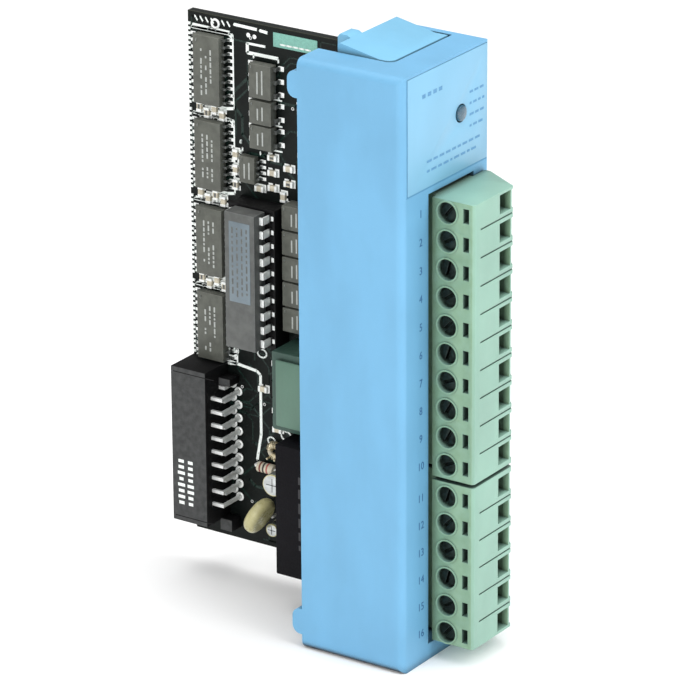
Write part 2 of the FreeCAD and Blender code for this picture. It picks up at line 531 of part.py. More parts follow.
def chip_legs():
    legs = []
    for z in CHIP_Z:
        legs += gull_legs(CHIP_Y, z, CHIP_HALF_Y, CHIP_WAYS, CHIP_LEG_PITCH, CHIP_TALL, 1.2)
    y, z, half_y, half_z, tall, ways = SMALL_CHIP
    legs += gull_legs(y, z, half_y, ways, CHIP_LEG_PITCH * 0.85, tall, 0.9)
    for y, z, half_y, half_z, tall, ways in isolator_places():
        legs += gull_legs(y, z, half_y, ways, half_z * 2.3 / ways, tall, 0.9, 0.35)
    return legs


def dip_heights():
    return [DIP_Z + (i - (DIP_WAYS - 1) / 2) * CONN_PITCH for i in range(DIP_WAYS)]


def chip_socket():
    frame = on_board(DIP_Y, DIP_Z, SOCKET_HALF_Y, SOCKET_HALF_Z, 0.0, SOCKET_TALL)
    well = on_board(DIP_Y, DIP_Z, SOCKET_HALF_Y - 2.5, SOCKET_HALF_Z - 2.5, 1.0, SOCKET_TALL + 1)
    holes = []
    for side in (-1, 1):
        for z in dip_heights():
            holes.append(on_board(DIP_Y + side * DIP_ROW, z, 0.45, DIP_LEG_HALF + 0.15, 1.2, SOCKET_TALL + 1))
    return frame.cut([well] + holes)


def socketed_chip():
    """A dual in-line chip whose legs stand in the socket."""
    floor, top = SOCKET_TALL + 0.4, SOCKET_TALL + 3.7
    parts = [on_board(DIP_Y, DIP_Z, DIP_HALF_Y, DIP_HALF_Z, floor, top)]
    middle = (floor + top) / 2
    for side in (-1, 1):
        for z in dip_heights():
            row = DIP_Y + side * DIP_ROW
            parts.append(on_board(row, z, DIP_LEG, DIP_LEG_HALF, 2.0, middle + DIP_LEG))
            shoulder = row - side * (DIP_ROW - DIP_HALF_Y) / 2
            parts.append(on_board(shoulder, z, 0.5, DIP_LEG_HALF, middle - DIP_LEG, middle + DIP_LEG))
    return joined(parts)


def isolators():
    return [on_board(y, z, half_y, half_z, 0.3, tall)
            for y, z, half_y, half_z, tall, ways in isolator_places()]


def power_converter():
    y, z, half_y, half_z, tall, foot = POWER_CONVERTER
    body = on_board(y, z, half_y, half_z, foot, tall)
    inset = 2 * foot
    feet = [on_board(y + a * (half_y - inset), z + b * (half_z - inset), foot, foot, 0.0, foot)
            for a in (-1, 1) for b in (-1, 1)]
    return joined([body] + feet)


def transformer():
    """A wound block: two core halves round a taller bobbin."""
    y, z, half_y, half_z, core_tall, bobbin_tall = TRANSFORMER
    core = on_board(y, z, half_y, half_z, 1.0, core_tall)
    bobbin = on_board(y, z, half_y * 0.77, half_z * 0.79, 0.0, bobbin_tall)
    return joined([core, bobbin])


def disc_capacitor(y, z, radius, thick, high, lean):
    """A dipped disc standing on edge on the board; lean turns it about the board's normal."""
    disc = rod(radius, (BOARD_X - high, y, z - thick / 2), (0, 0, 1), thick)
    disc = disc.makeFillet(thick * 0.42, [e for e in disc.Edges if e.Closed and e.Length > radius])
    disc.rotate(V(BOARD_X - high, y, z), V(1, 0, 0), lean)
    return disc


def can_capacitor(y, z, radius, tall):
    can = rod(radius, (BOARD_X - tall, y, z), (1, 0, 0), tall)
    base = rod(radius + 0.15, (BOARD_X - 0.8, y, z), (1, 0, 0), 0.8)
    return joined([can, base])


def board_capacitors():
    return [disc_capacitor(*DISC_CAPACITOR)] + [can_capacitor(*can) for can in CAN_CAPACITORS]


def small_block(y, z, along_y):
    """A surface-mounted resistor or capacitor, lying along Y or along Z."""
    half_y, half_z = (SMALL_LONG, SMALL_WIDE) if along_y else (SMALL_WIDE, SMALL_LONG)
    return on_board(y, z, half_y, half_z, 0.0, SMALL_TALL)


def board_passives():
    """Small surface-mounted resistors and capacitors, one axial resistor and one ring choke."""
    blocks = []
    for z in CHIP_GAP_Z:
        for i in range(GAP_BLOCKS):
            blocks.append(small_block(GAP_FIRST_Y + i * GAP_STEP, z + GAP_STAGGER * (i % 2), False))
    blocks += [small_block(y, z, False) for y, z in UPRIGHT_SPOTS]
    blocks += [small_block(y, z, True) for y, z in LEVEL_SPOTS]
    y, z, radius, length = AXIAL_RESISTOR
    axial = rod(radius, (BOARD_X - radius - 0.4, y - length / 2, z), (0, 1, 0), length)
    y, z, radius, wire = RING_CHOKE
    choke = Part.makeTorus(radius, wire, V(BOARD_X - 2 * wire, y, z), V(1, 0, 0))
    return blocks + [axial, choke]


# ---------------------------------------------------------------- all nodes

def build():
    os.makedirs("parts", exist_ok=True)
    save("housing_shell", housing_shell())
    save("label_panel", label_panel())
    save("status_lens", status_lens())
    save("status_led", status_led())
    save("circuit_board", drilled_board())
    save("board_screws", [board_screw(y, z) for y, z in BOARD_SCREW_YZ])
    save("terminal_headers", [terminal_header(UPPER_Z, UPPER_SPAN), terminal_header(LOWER_Z, LOWER_SPAN)])
    save("header_pins", [header_pin(z) for z in UPPER_Z + LOWER_Z])
    save("upper_plug", plug_body(UPPER_Z, UPPER_SPAN))
    save("lower_plug", plug_body(LOWER_Z, LOWER_SPAN))
    save("upper_plug_contacts", [plug_contact(z) for z in UPPER_Z])
    save("lower_plug_contacts", [plug_contact(z) for z in LOWER_Z])
    for i, z in enumerate(UPPER_Z + LOWER_Z):
        save("terminal_screw_%02d" % (i + 1), terminal_screw(z, 40 + 25 * math.sin(2.3 * i)))
        save("wire_clamp_%02d" % (i + 1), wire_clamp(z))
    save("top_latch", latch(TOP_PIVOT_Y, TOP_PLATE_BACK, 0.0, 1.5, 1.8))
    save("bottom_latch", from_top(latch(BOTTOM_PIVOT_Y, BOTTOM_PLATE_BACK, 0.3, 0.0, -0.2)))
    save("latch_pins", [latch_pin(TOP_PIVOT_Y), from_top(latch_pin(BOTTOM_PIVOT_Y))])
    save("top_latch_spring", latch_spring(TOP_PIVOT_Y))
    save("bottom_latch_spring", from_top(latch_spring(BOTTOM_PIVOT_Y)))
    save("rack_connector", rack_connector())
    save("rack_connector_legs", [connector_leg(x, leg_y, z) for i, (x, leg_y) in enumerate(CONN_ROWS)
                                 for z in connector_heights(i)])
    save("surface_chips", surface_chips())
    save("chip_legs", chip_legs())
    save("chip_socket", chip_socket())
    save("socketed_chip", socketed_chip())
    save("optocouplers", isolators())
    save("power_converter", power_converter())
    save("transformer", transformer())
    save("board_capacitors", board_capacitors())
    save("board_passives", board_passives())


build()
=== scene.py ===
import json
import math
import random

import bmesh
import bpy
from mathutils import Matrix, Vector


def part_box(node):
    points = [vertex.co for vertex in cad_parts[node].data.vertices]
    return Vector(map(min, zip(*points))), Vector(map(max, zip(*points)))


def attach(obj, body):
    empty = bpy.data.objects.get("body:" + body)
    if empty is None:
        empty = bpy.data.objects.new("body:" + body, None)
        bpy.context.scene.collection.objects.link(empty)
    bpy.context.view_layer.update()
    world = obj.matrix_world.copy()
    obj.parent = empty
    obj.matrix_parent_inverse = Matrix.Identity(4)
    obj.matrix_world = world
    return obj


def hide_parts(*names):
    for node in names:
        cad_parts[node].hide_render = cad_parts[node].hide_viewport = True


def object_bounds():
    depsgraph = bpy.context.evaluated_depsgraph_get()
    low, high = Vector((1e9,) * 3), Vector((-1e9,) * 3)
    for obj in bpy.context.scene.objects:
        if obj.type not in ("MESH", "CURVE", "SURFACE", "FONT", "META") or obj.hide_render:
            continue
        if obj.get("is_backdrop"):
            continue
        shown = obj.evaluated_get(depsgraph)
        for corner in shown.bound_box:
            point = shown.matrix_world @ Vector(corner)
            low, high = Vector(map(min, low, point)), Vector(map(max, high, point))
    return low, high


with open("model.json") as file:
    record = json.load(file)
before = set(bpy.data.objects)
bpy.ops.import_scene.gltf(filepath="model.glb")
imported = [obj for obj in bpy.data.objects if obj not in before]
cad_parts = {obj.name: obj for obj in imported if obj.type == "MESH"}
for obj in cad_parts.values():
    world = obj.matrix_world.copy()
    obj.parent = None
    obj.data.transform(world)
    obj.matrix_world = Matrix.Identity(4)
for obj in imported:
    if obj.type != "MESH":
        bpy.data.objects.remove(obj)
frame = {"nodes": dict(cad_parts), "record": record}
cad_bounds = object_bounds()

MM = 0.001
NODES = frame["nodes"]
SCENE = bpy.context.scene
SEED = 7
random.seed(SEED)

# Camera, in the part's frame
VIEW_AZIMUTH = math.radians(-55.92)
VIEW_ELEVATION = math.radians(21.44)
VIEW_ROLL = math.radians(-0.37)
VIEW_TARGET = Vector((1.75, 9.5, 55.0)) * MM
VIEW_SHIFT_RIGHT = -2.294 * MM
VIEW_SHIFT_UP = -1.925 * MM
VIEW_DISTANCE = 862.5 * MM
LENS = 264.7
SENSOR_WIDTH = 36.0
CLIP_NEAR, CLIP_FAR = 0.01, 20.0

# Floor and light: each soft box is its name, place, side in metres and power in watts
FLOOR_HALF = 6.0
SOFTBOXES = (
    ("key", (0.10, -0.70, 0.62), 0.80, 6.0),
    ("fill", (-0.80, -0.15, 0.35), 0.60, 3.3),
    ("top", (-0.05, 0.10, 0.85), 0.95, 5.2),
)
LIGHT_AIM = Vector((0.0, 0.01, 0.055))
SKY_STRENGTH = 0.50

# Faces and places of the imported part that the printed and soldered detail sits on
BOARD_LOW, BOARD_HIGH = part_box("circuit_board")
BOARD_FACE = BOARD_LOW.x
BOARD_REAR_FACE = BOARD_HIGH.x
PANEL_LOW, PANEL_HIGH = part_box("label_panel")
SCREW_NODES = sorted(n for n in NODES if n.startswith("terminal_screw_"))
CLAMP_NODES = sorted(n for n in NODES if n.startswith("wire_clamp_"))
SPRING_NODES = ("top_latch_spring", "bottom_latch_spring")
POLE_Z = [(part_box(n)[0].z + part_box(n)[1].z) / 2 for n in SCREW_NODES]
FRONT_FACE = -10.5 * MM
FOOT_DROP = 1.9 * MM          # from the rack connector's lower foot up to its body
PRINT = 0.03 * MM             # thickness of printed detail
COPPER = 0.02 * MM            # and of etched tracks
PAD = 0.05 * MM               # and of solder pads
FINE = 0.30 * MM              # widths of printed lines
BOLD = 0.55 * MM
MARK_RISE = 0.012 * MM        # how far a mark stands off its package
MARK_SUNK = 0.005 * MM        # and how far it reaches in
LEG_HOLE = 0.25 * MM          # from a rack connector leg's front face to its hole's middle
DIP_LEGS = 10                 # legs in each row of the socketed chip
DIP_PITCH = 2.54 * MM
DIP_ROW = 3.81 * MM           # from the chip's middle to a row of its holes
MERGE = 0.0005 * MM           # vertices nearer than this are one
FLAT = 0.6                    # degrees: faces that meet more flatly than this are one
CAD_SHARP = 38.0              # degrees: edges sharper than this are rounded
DETAIL_SHARP = 35.0
DOME = ((0.0, 1.0), (0.12, 0.90), (0.26, 0.74), (0.40, 0.54), (0.52, 0.38), (0.64, 0.30))   # rise, share
BODY_OF = {n: b for b, members in frame["record"]["behaviour"]["bodies"].items() for n in members}


def srgb(red, green, blue):
    """A colour given as 0 to 255 display values, as Blender's linear values."""
    def linear(value):
        share = value / 255
        return share / 12.92 if share <= 0.04045 else ((share + 0.055) / 1.055) ** 2.4
    return (linear(red), linear(green), linear(blue), 1.0)


def scaled(colour, share):
    return (colour[0] * share, colour[1] * share, colour[2] * share, 1.0)


def brighter(colour, share):
    return tuple(min(1.0, c * share + 0.05) for c in colour[:3]) + (1.0,)


# ---------------- materials

class Surface:
    """One node material, built up step by step."""

    def __init__(self, name, roughness=0.5, metallic=0.0, specular=0.5):
        self.material = bpy.data.materials.new(name)
        self.material.use_nodes = True
        self.tree = self.material.node_tree
        self.shader = self.tree.nodes["Principled BSDF"]
        self.fill(self.shader, {"Roughness": roughness, "Metallic": metallic, "Specular IOR Level": specular})
        self.place = self.node("ShaderNodeTexCoord").outputs["Object"]

    def fill(self, node, inputs):
        """Gives each input its number or colour, or links it."""
        for key, value in inputs.items():
            if isinstance(value, bpy.types.NodeSocket):
                self.tree.links.new(value, node.inputs[key])
            else:
                node.inputs[key].default_value = value

    def node(self, kind, inputs=None, **settings):
        made = self.tree.nodes.new(kind)
        for key, value in settings.items():
            setattr(made, key, value)
        self.fill(made, inputs or {})
        return made

    def noise(self, size, detail=3.0, stretch=None):
        """Noise whose blobs are about size metres across."""
        place = self.place
        if stretch:
            place = self.node("ShaderNodeMapping", {"Vector": place, "Scale": stretch}).outputs["Vector"]
        inputs = {"Vector": place, "Scale": 1.0 / size, "Detail": detail}
        return self.node("ShaderNodeTexNoise", inputs).outputs["Fac"]

    def cells(self, size):
        inputs = {"Vector": self.place, "Scale": 1.0 / size}
        return self.node("ShaderNodeTexVoronoi", inputs).outputs["Distance"]

    def remap(self, value, ends, low, high):
        inputs = {"Value": value, ends + " Min": low, ends + " Max": high}
        return self.node("ShaderNodeMapRange", inputs).outputs["Result"]

    def ramp(self, value, low, high):
        """Spreads value so that low becomes 0 and high becomes 1."""
        return self.remap(value, "From", low, high)

    def spread(self, value, low, high):
        """Turns 0 to 1 into low to high."""
        return self.remap(value, "To", low, high)

    def patches(self, size, low=0.35, high=0.70, detail=4.0):
        """Soft patches of 0 and 1, about size metres across."""
        return self.ramp(self.noise(size, detail), low, high)

    def combine(self, operation, a, b):
        return self.node("ShaderNodeMath", {0: a, 1: b}, operation=operation).outputs["Value"]

    def sum(self, a, b):
        return self.combine("ADD", a, b)

    def times(self, a, b):
        return self.combine("MULTIPLY", a, b)

    def mix(self, share, a, b, blend="MIX"):
        """A mix of two colours, whose inputs are the mix node's colour pair."""
        inputs = {0: share, 6: a, 7: b}
        return self.node("ShaderNodeMix", inputs, data_type="RGBA", blend_type=blend).outputs[2]

    def edges(self, width):
        """1 along edges, and 0 on flat faces."""
        soft = self.node("ShaderNodeBevel", {"Radius": width}, samples=4).outputs["Normal"]
        plain = self.node("ShaderNodeNewGeometry").outputs["Normal"]
        dot = self.node("ShaderNodeVectorMath", {0: soft, 1: plain}, operation="DOT_PRODUCT")
        return self.ramp(dot.outputs["Value"], 0.995, 0.80)

    def left_facing(self):
        """1 where the piece's own surface faces -X."""
        normal = self.node("ShaderNodeTexCoord").outputs["Normal"]
        return self.ramp(self.node("ShaderNodeSeparateXYZ", {0: normal}).outputs["X"], -0.6, -0.9)

    def painted_crevice_shade(self, tone, reach, share=0.3):
        """Painted shade: darkens tone where other surfaces crowd in within reach, in grooves, wells and
        slots.
        """
        shade = self.node("ShaderNodeAmbientOcclusion", {"Distance": reach}, samples=6).outputs["AO"]
        light = self.spread(self.ramp(shade, 0.30, 0.85), share, 1.0)
        grey = self.node("ShaderNodeCombineColor", {0: light, 1: light, 2: light}).outputs[0]
        return self.mix(1.0, tone, grey, "MULTIPLY")

    def bump(self, height, depth):
        made = self.node("ShaderNodeBump", {"Height": height, "Distance": depth})
        self.fill(self.shader, {"Normal": made.outputs["Normal"]})

    def colour(self, value):
        self.fill(self.shader, {"Base Color": value})

    def roughness(self, value):
        self.fill(self.shader, {"Roughness": value})


def moulded(name, colour, roughness=0.42, grain=0.22 * MM, depth=0.012 * MM, mottle=0.07, wear=0.35,
            edge_width=0.22 * MM, specular=0.45, shade_reach=1.6 * MM, shade_share=0.30):
    """Moulded plastic: fine spark grain, faint flow mottling, paler rubbed edges, and painted shade in
    grooves and wells.
    """
    s = Surface(name, roughness, 0.0, specular)
    flow = s.noise(9 * MM, 4.0, (1.0, 1.0, 0.45))
    cloud = s.noise(1.7 * MM, 3.0)
    tone = s.mix(s.ramp(flow, 0.35, 0.65), scaled(colour, 1.0 - mottle), scaled(colour, 1.0 + mottle * 0.5))
    tone = s.mix(s.spread(cloud, 0.0, 0.10), tone, scaled(colour, 0.8))
    rubbed = s.times(s.edges(edge_width), s.patches(0.9 * MM, 0.42, 0.62))
    tone = s.mix(s.times(rubbed, wear), tone, brighter(colour, 1.25))
    s.colour(s.painted_crevice_shade(tone, shade_reach, shade_share))
    fine = s.noise(grain, 2.0)
    s.roughness(s.spread(s.times(fine, cloud), roughness + 0.12, roughness - 0.10))
    s.bump(s.sum(fine, s.cells(grain * 1.4)), depth)
    return s


def metal(name, colour, roughness=0.28, brush=(1.0, 1.0, 1.0), dull=0.3, depth=0.006 * MM, metallic=1.0):
    """Plated metal with fine tool marks, dull patches, and bright edges that are partly rubbed wear and
    partly painted highlight.
    """
    s = Surface(name, roughness, metallic, 0.5)
    marks = s.noise(0.25 * MM, 3.0, brush)
    patch = s.patches(1.1 * MM, 0.40)
    tone = s.mix(patch, colour, scaled(colour, 1.0 - dull))
    # bright edges: partly rubbed wear, partly painted highlight
    s.colour(s.mix(s.edges(0.10 * MM), tone, brighter(colour, 1.35)))
    s.roughness(s.spread(s.sum(marks, patch), roughness - 0.08, roughness + 0.22))
    s.bump(marks, depth)
    return s


def terminal_surface():
    """Pale green moulding; the face that the screws are in has painted shade, a little darker and more olive.
    """
    # painted shade in grooves and wells reaches 2.6 mm on the terminals
    s = moulded("terminal_plastic", srgb(138, 176, 160), 0.40, 0.20 * MM, 0.012 * MM, 0.09, 0.5,
                shade_reach=2.6 * MM, shade_share=0.12)
    pale = s.shader.inputs["Base Color"].links[0].from_socket
    # painted shade: the screw face, which faces -X, is darkened and tinted
    olive = s.mix(s.patches(2.0 * MM), (0.80, 0.78, 0.62, 1.0), (0.92, 0.88, 0.76, 1.0))
    s.colour(s.mix(s.left_facing(), pale, s.mix(1.0, pale, olive, "MULTIPLY")))
    return s


def connector_surface():
    """Black moulding whose left face, marked for its legs, is painted a lighter grey: painted light on that
    face.
    """
    s = moulded("connector_plastic", srgb(14, 14, 15), 0.6, 0.16 * MM, 0.014 * MM, 0.2, 0.15, specular=0.15)
    dark = s.shader.inputs["Base Color"].links[0].from_socket
    # painted light: the lighter grey of the left face
    lit_face_grey = s.mix(s.patches(1.2 * MM), srgb(62, 63, 63), srgb(76, 77, 77))
    s.colour(s.mix(s.left_facing(), dark, lit_face_grey))
    return s


def board_surface():
    """Dark solder mask: glossy, with the weave of the laminate and the copper's edges faintly through it."""
    s = Surface("solder_mask", 0.45, 0.0, 0.18)
    dark = srgb(4, 6, 6)
    weave = s.sum(s.noise(0.5 * MM, 1.0, (1.0, 9.0, 1.0)), s.noise(0.5 * MM, 1.0, (1.0, 1.0, 9.0)))
    pour = s.patches(7 * MM, 0.47, 0.53, 1.0)
    tone = s.mix(pour, dark, srgb(7, 13, 11))
    tone = s.mix(s.ramp(weave, 0.7, 1.4), tone, srgb(12, 20, 17))
    s.colour(s.mix(s.edges(0.25 * MM), tone, srgb(70, 72, 56)))
    s.roughness(s.spread(s.noise(0.8 * MM, 4.0), 0.36, 0.55))
    s.bump(s.sum(weave, s.times(pour, 1.5)), 0.010 * MM)
    return s


def board_track_surface():
    """Copper under solder mask: a lighter, glossier green than the bare board."""
    s = Surface("masked_copper", 0.35, 0.0, 0.25)
    tone = s.mix(s.patches(1.5 * MM, detail=3.0), srgb(20, 36, 31), srgb(30, 50, 44))
    s.colour(tone)
    s.roughness(s.spread(s.noise(0.6 * MM, 3.0), 0.18, 0.36))
    s.bump(s.noise(0.4 * MM, 2.0), 0.006 * MM)
    return s


def epoxy(name, colour, edge_colour):
    """Moulded package: matt, slightly sparkling filler, and edges that catch the light."""
    s = Surface(name, 0.55, 0.0, 0.45)
    speck = s.ramp(s.cells(0.16 * MM), 0.10, 0.02)
    cloud = s.noise(1.4 * MM, 4.0)
    tone = s.mix(s.ramp(cloud, 0.35, 0.68), scaled(colour, 0.82), scaled(colour, 1.15))
    tone = s.mix(s.times(speck, 0.25), tone, edge_colour)
    s.colour(s.mix(s.times(s.edges(0.14 * MM), 0.55), tone, edge_colour))
    s.roughness(s.spread(cloud, 0.44, 0.66))
    s.bump(s.noise(0.10 * MM, 3.0), 0.008 * MM)
    return s


def lens_surface():
    s = Surface("clear_lens", 0.08, 0.0, 0.5)
    s.fill(s.shader, {"Transmission Weight": 0.55, "Coat Weight": 0.4})
    s.colour(s.mix(s.patches(0.8 * MM, detail=3.0), srgb(84, 136, 160), srgb(60, 106, 132)))
    s.roughness(s.spread(s.noise(0.3 * MM, 3.0), 0.05, 0.16))
    s.bump(s.noise(0.5 * MM, 2.0), 0.004 * MM)
    return s


def ink(name, colour, worn=0.72):
    """Printed ink, a little patchy."""
    s = Surface(name, 0.55, 0.0, 0.4)
    s.colour(s.mix(s.patches(0.22 * MM, high=0.75), colour, scaled(colour, worn)))
    s.roughness(s.spread(s.noise(0.3 * MM, 2.0), 0.45, 0.7))
    s.bump(s.noise(0.12 * MM, 2.0), 0.004 * MM)
    return s


def floor_surface():
    s = Surface("pale_floor", 0.6, 0.0, 0.3)
    s.colour(s.mix(s.noise(0.3, 2.0), (0.975, 0.975, 0.975, 1.0), (0.99, 0.99, 0.99, 1.0)))
    return s


def make_surfaces():
    blue = srgb(106, 165, 202)
    made = {
        # the housing's painted shade in grooves and gaps is strong and reaches 2.4 mm
        "housing_blue": moulded("housing_plastic", blue, shade_reach=2.4 * MM, shade_share=0.06),
        "panel_blue": moulded("panel_film", srgb(125, 178, 208), 0.34, 0.12 * MM, 0.006 * MM, 0.04, 0.2),
        "latch_blue": moulded("latch_plastic", srgb(116, 177, 209)),
        "terminal_green": terminal_surface(),
        "connector_black": connector_surface(),
        "socket_black": moulded("socket_plastic", srgb(12, 12, 13), 0.55, 0.16 * MM, 0.012 * MM, 0.2, 0.2,
                                specular=0.2),
        "potted_black": moulded("converter_case", srgb(10, 9, 14), 0.55, 0.3 * MM, 0.02 * MM, 0.2, 0.12,
                                specular=0.12),
        "chip_grey": epoxy("package_epoxy", srgb(86, 88, 81), srgb(150, 152, 144)),
        "chip_black": epoxy("dip_epoxy", srgb(88, 90, 88), srgb(158, 163, 165)),
        "zinc_steel": metal("zinc_plate", srgb(168, 172, 170), 0.30),
        "tinned_metal": metal("tin_plate", srgb(232, 234, 232), 0.30, (1.0, 1.0, 6.0), 0.12, metallic=0.45),
        "spring_steel": metal("spring_wire", srgb(150, 152, 156), 0.25, (8.0, 1.0, 1.0), 0.2),
        "board_green": board_surface(),
        "transformer_green": moulded("winding_tape", srgb(50, 78, 68), 0.36, 0.5 * MM, 0.03 * MM, 0.2, 0.5),
        "capacitor_olive": moulded("dipped_coating", srgb(190, 184, 136), 0.22, 0.5 * MM, 0.03 * MM, 0.3, 0.8,
                                   1.6 * MM),
        "passive_pale": epoxy("ceramic_body", srgb(196, 188, 168), srgb(235, 235, 228)),
        "led_body": moulded("led_resin", srgb(190, 70, 60), 0.18, 0.5 * MM, 0.01 * MM, 0.1, 0.1),
        "clear_lens": lens_surface(),
    }
    return {key: surface.material for key, surface in made.items()}


SURFACES = make_surfaces()
SLOT_OF = {s["node"]: s["material_slot"] for s in frame["record"]["subparts"]}
PRINT_WHITE = ink("silkscreen_white", srgb(244, 250, 246), 0.88).material
PRINT_BLUE = ink("legend_ink", srgb(52, 104, 152)).material
PRINT_FAINT = ink("faint_legend", srgb(92, 148, 190)).material
# Painted shade: the terminal screws are coloured dark for the shade of the wells they sit in.
SHADED_SCREW_STEEL = metal("screw_steel_painted_shade", srgb(50, 58, 54), 0.36, dull=0.6).material
LEG_STEEL = metal("leg_steel", srgb(120, 124, 122), 0.34, (1.0, 1.0, 6.0), 0.4).material
# Painted shadow: the blue of the strips along the panel's lower and left edges.
PANEL_SHADOW_BLUE = moulded("panel_shadow_paint", srgb(84, 142, 180), 0.6, wear=0.0, shade_share=0.8).material
CAN_TOP = metal("can_top", srgb(206, 210, 210), 0.26, dull=0.2).material
# Painted highlight: the mint of the patch near the board's top edge, for glare on the green board.
MINT_GLARE = ink("mint_glare", srgb(128, 184, 170)).material
CONVERTER_MARK = ink("converter_mark", srgb(52, 52, 56)).material
PRINT_GREY = ink("package_mark", srgb(176, 180, 176)).material
LABEL_SILVER = moulded("silver_label", srgb(112, 126, 134), 0.36, 0.3 * MM, 0.008 * MM, 0.2, 0.1).material
SOLDER = metal("solder", srgb(244, 247, 244), 0.30, dull=0.08, metallic=0.25).material
MASKED_COPPER = board_track_surface().material
CAN_SLEEVE = metal("can_sleeve", srgb(150, 156, 158), 0.34, (8.0, 1.0, 1.0), 0.25).material
TAPE_PALE = moulded("pale_tape", srgb(86, 118, 102), 0.34, 0.5 * MM, 0.02 * MM, 0.15, 0.3).material
COPPER_WIRE = metal("enamelled_wire", srgb(198, 188, 160), 0.30, dull=0.2).material
BAND_INKS = [ink("band_%d" % i, colour).material
             for i, colour in enumerate((srgb(120, 60, 50), srgb(40, 36, 40), srgb(178, 96, 90)))]


# ---------------- pieces

def linked(name, data):
    """A new object in the scene."""
    made = bpy.data.objects.new(name, data)
    SCENE.collection.objects.link(made)
    return made


def new_piece(name, mesh, material, body, slot):
    piece = linked(name, mesh)
    mesh.materials.clear()
    mesh.materials.append(material)
    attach(piece, body)
    return piece


def evaluated_mesh(piece):
    """The mesh with its modifiers applied."""
    graph = bpy.context.evaluated_depsgraph_get()
    return bpy.data.meshes.new_from_object(piece.evaluated_get(graph))


def rounded(mesh, width, segments, sharp):
    """The mesh with its sharp edges rounded."""
    rough = linked("rough", mesh)
    bevel = rough.modifiers.new("edge", "BEVEL")
    bevel.width = width
    bevel.segments = segments
    bevel.limit_method = "ANGLE"
    bevel.angle_limit = math.radians(sharp)
    bpy.context.view_layer.update()
    final = evaluated_mesh(rough)
    bpy.data.objects.remove(rough)
    return final


def shade_smooth(mesh, sharp):
    for face in mesh.polygons:
        face.use_smooth = True
    mesh.set_sharp_from_angle(angle=math.radians(sharp))


def finished_node(node, width, segments=2, material=None):
    """A copy of a CAD node with real rounds on its sharp edges, which stands for it."""
    mesh = NODES[node].data.copy()
    build = bmesh.new()
    build.from_mesh(mesh)
    bmesh.ops.remove_doubles(build, verts=build.verts, dist=MERGE)
    bmesh.ops.dissolve_limit(build, angle_limit=math.radians(FLAT), verts=build.verts, edges=build.edges)
    build.to_mesh(mesh)
    build.free()
    if "custom_normal" in mesh.attributes:
        mesh.attributes.remove(mesh.attributes["custom_normal"])
    final = rounded(mesh, width, segments, CAD_SHARP)
    shade_smooth(final, CAD_SHARP)
    slot = SLOT_OF[node]
    piece = new_piece(node + "_finish", final, material or SURFACES[slot], BODY_OF[node], slot)
    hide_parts(node)


def paint_node(node):
    """A CAD node that is shown as it is gets its detailed material."""
    node_object = NODES[node]
    node_object.data.materials.clear()
    node_object.data.materials.append(LEG_STEEL if node == "chip_legs" else SURFACES[SLOT_OF[node]])


EDGE_ROUNDS = {                # in millimetres
    "label_panel": 0.12, "terminal_headers": 0.15, "upper_plug": 0.12, "lower_plug": 0.12,
    "rack_connector": 0.18, "surface_chips": 0.12, "chip_socket": 0.10, "socketed_chip": 0.07,
    "optocouplers": 0.14, "power_converter": 0.35, "transformer": 0.5, "board_passives": 0.10,
    "top_latch": 0.25, "bottom_latch": 0.2, "status_led": 0.15, "status_lens": 0.25, "board_screws": 0.10,
}
SCREW_ROUND = 0.12 * MM
CLAMP_ROUND = 0.08 * MM


def finish_nodes():
    for node in sorted(NODES):
        if node in EDGE_ROUNDS:
            finished_node(node, EDGE_ROUNDS[node] * MM)
        elif node in SCREW_NODES:
            finished_node(node, SCREW_ROUND, material=SHADED_SCREW_STEEL)
        elif node in CLAMP_NODES:
            finished_node(node, CLAMP_ROUND, 1)
        elif node not in SPRING_NODES:
            paint_node(node)


# ---------------- helpers for added detail

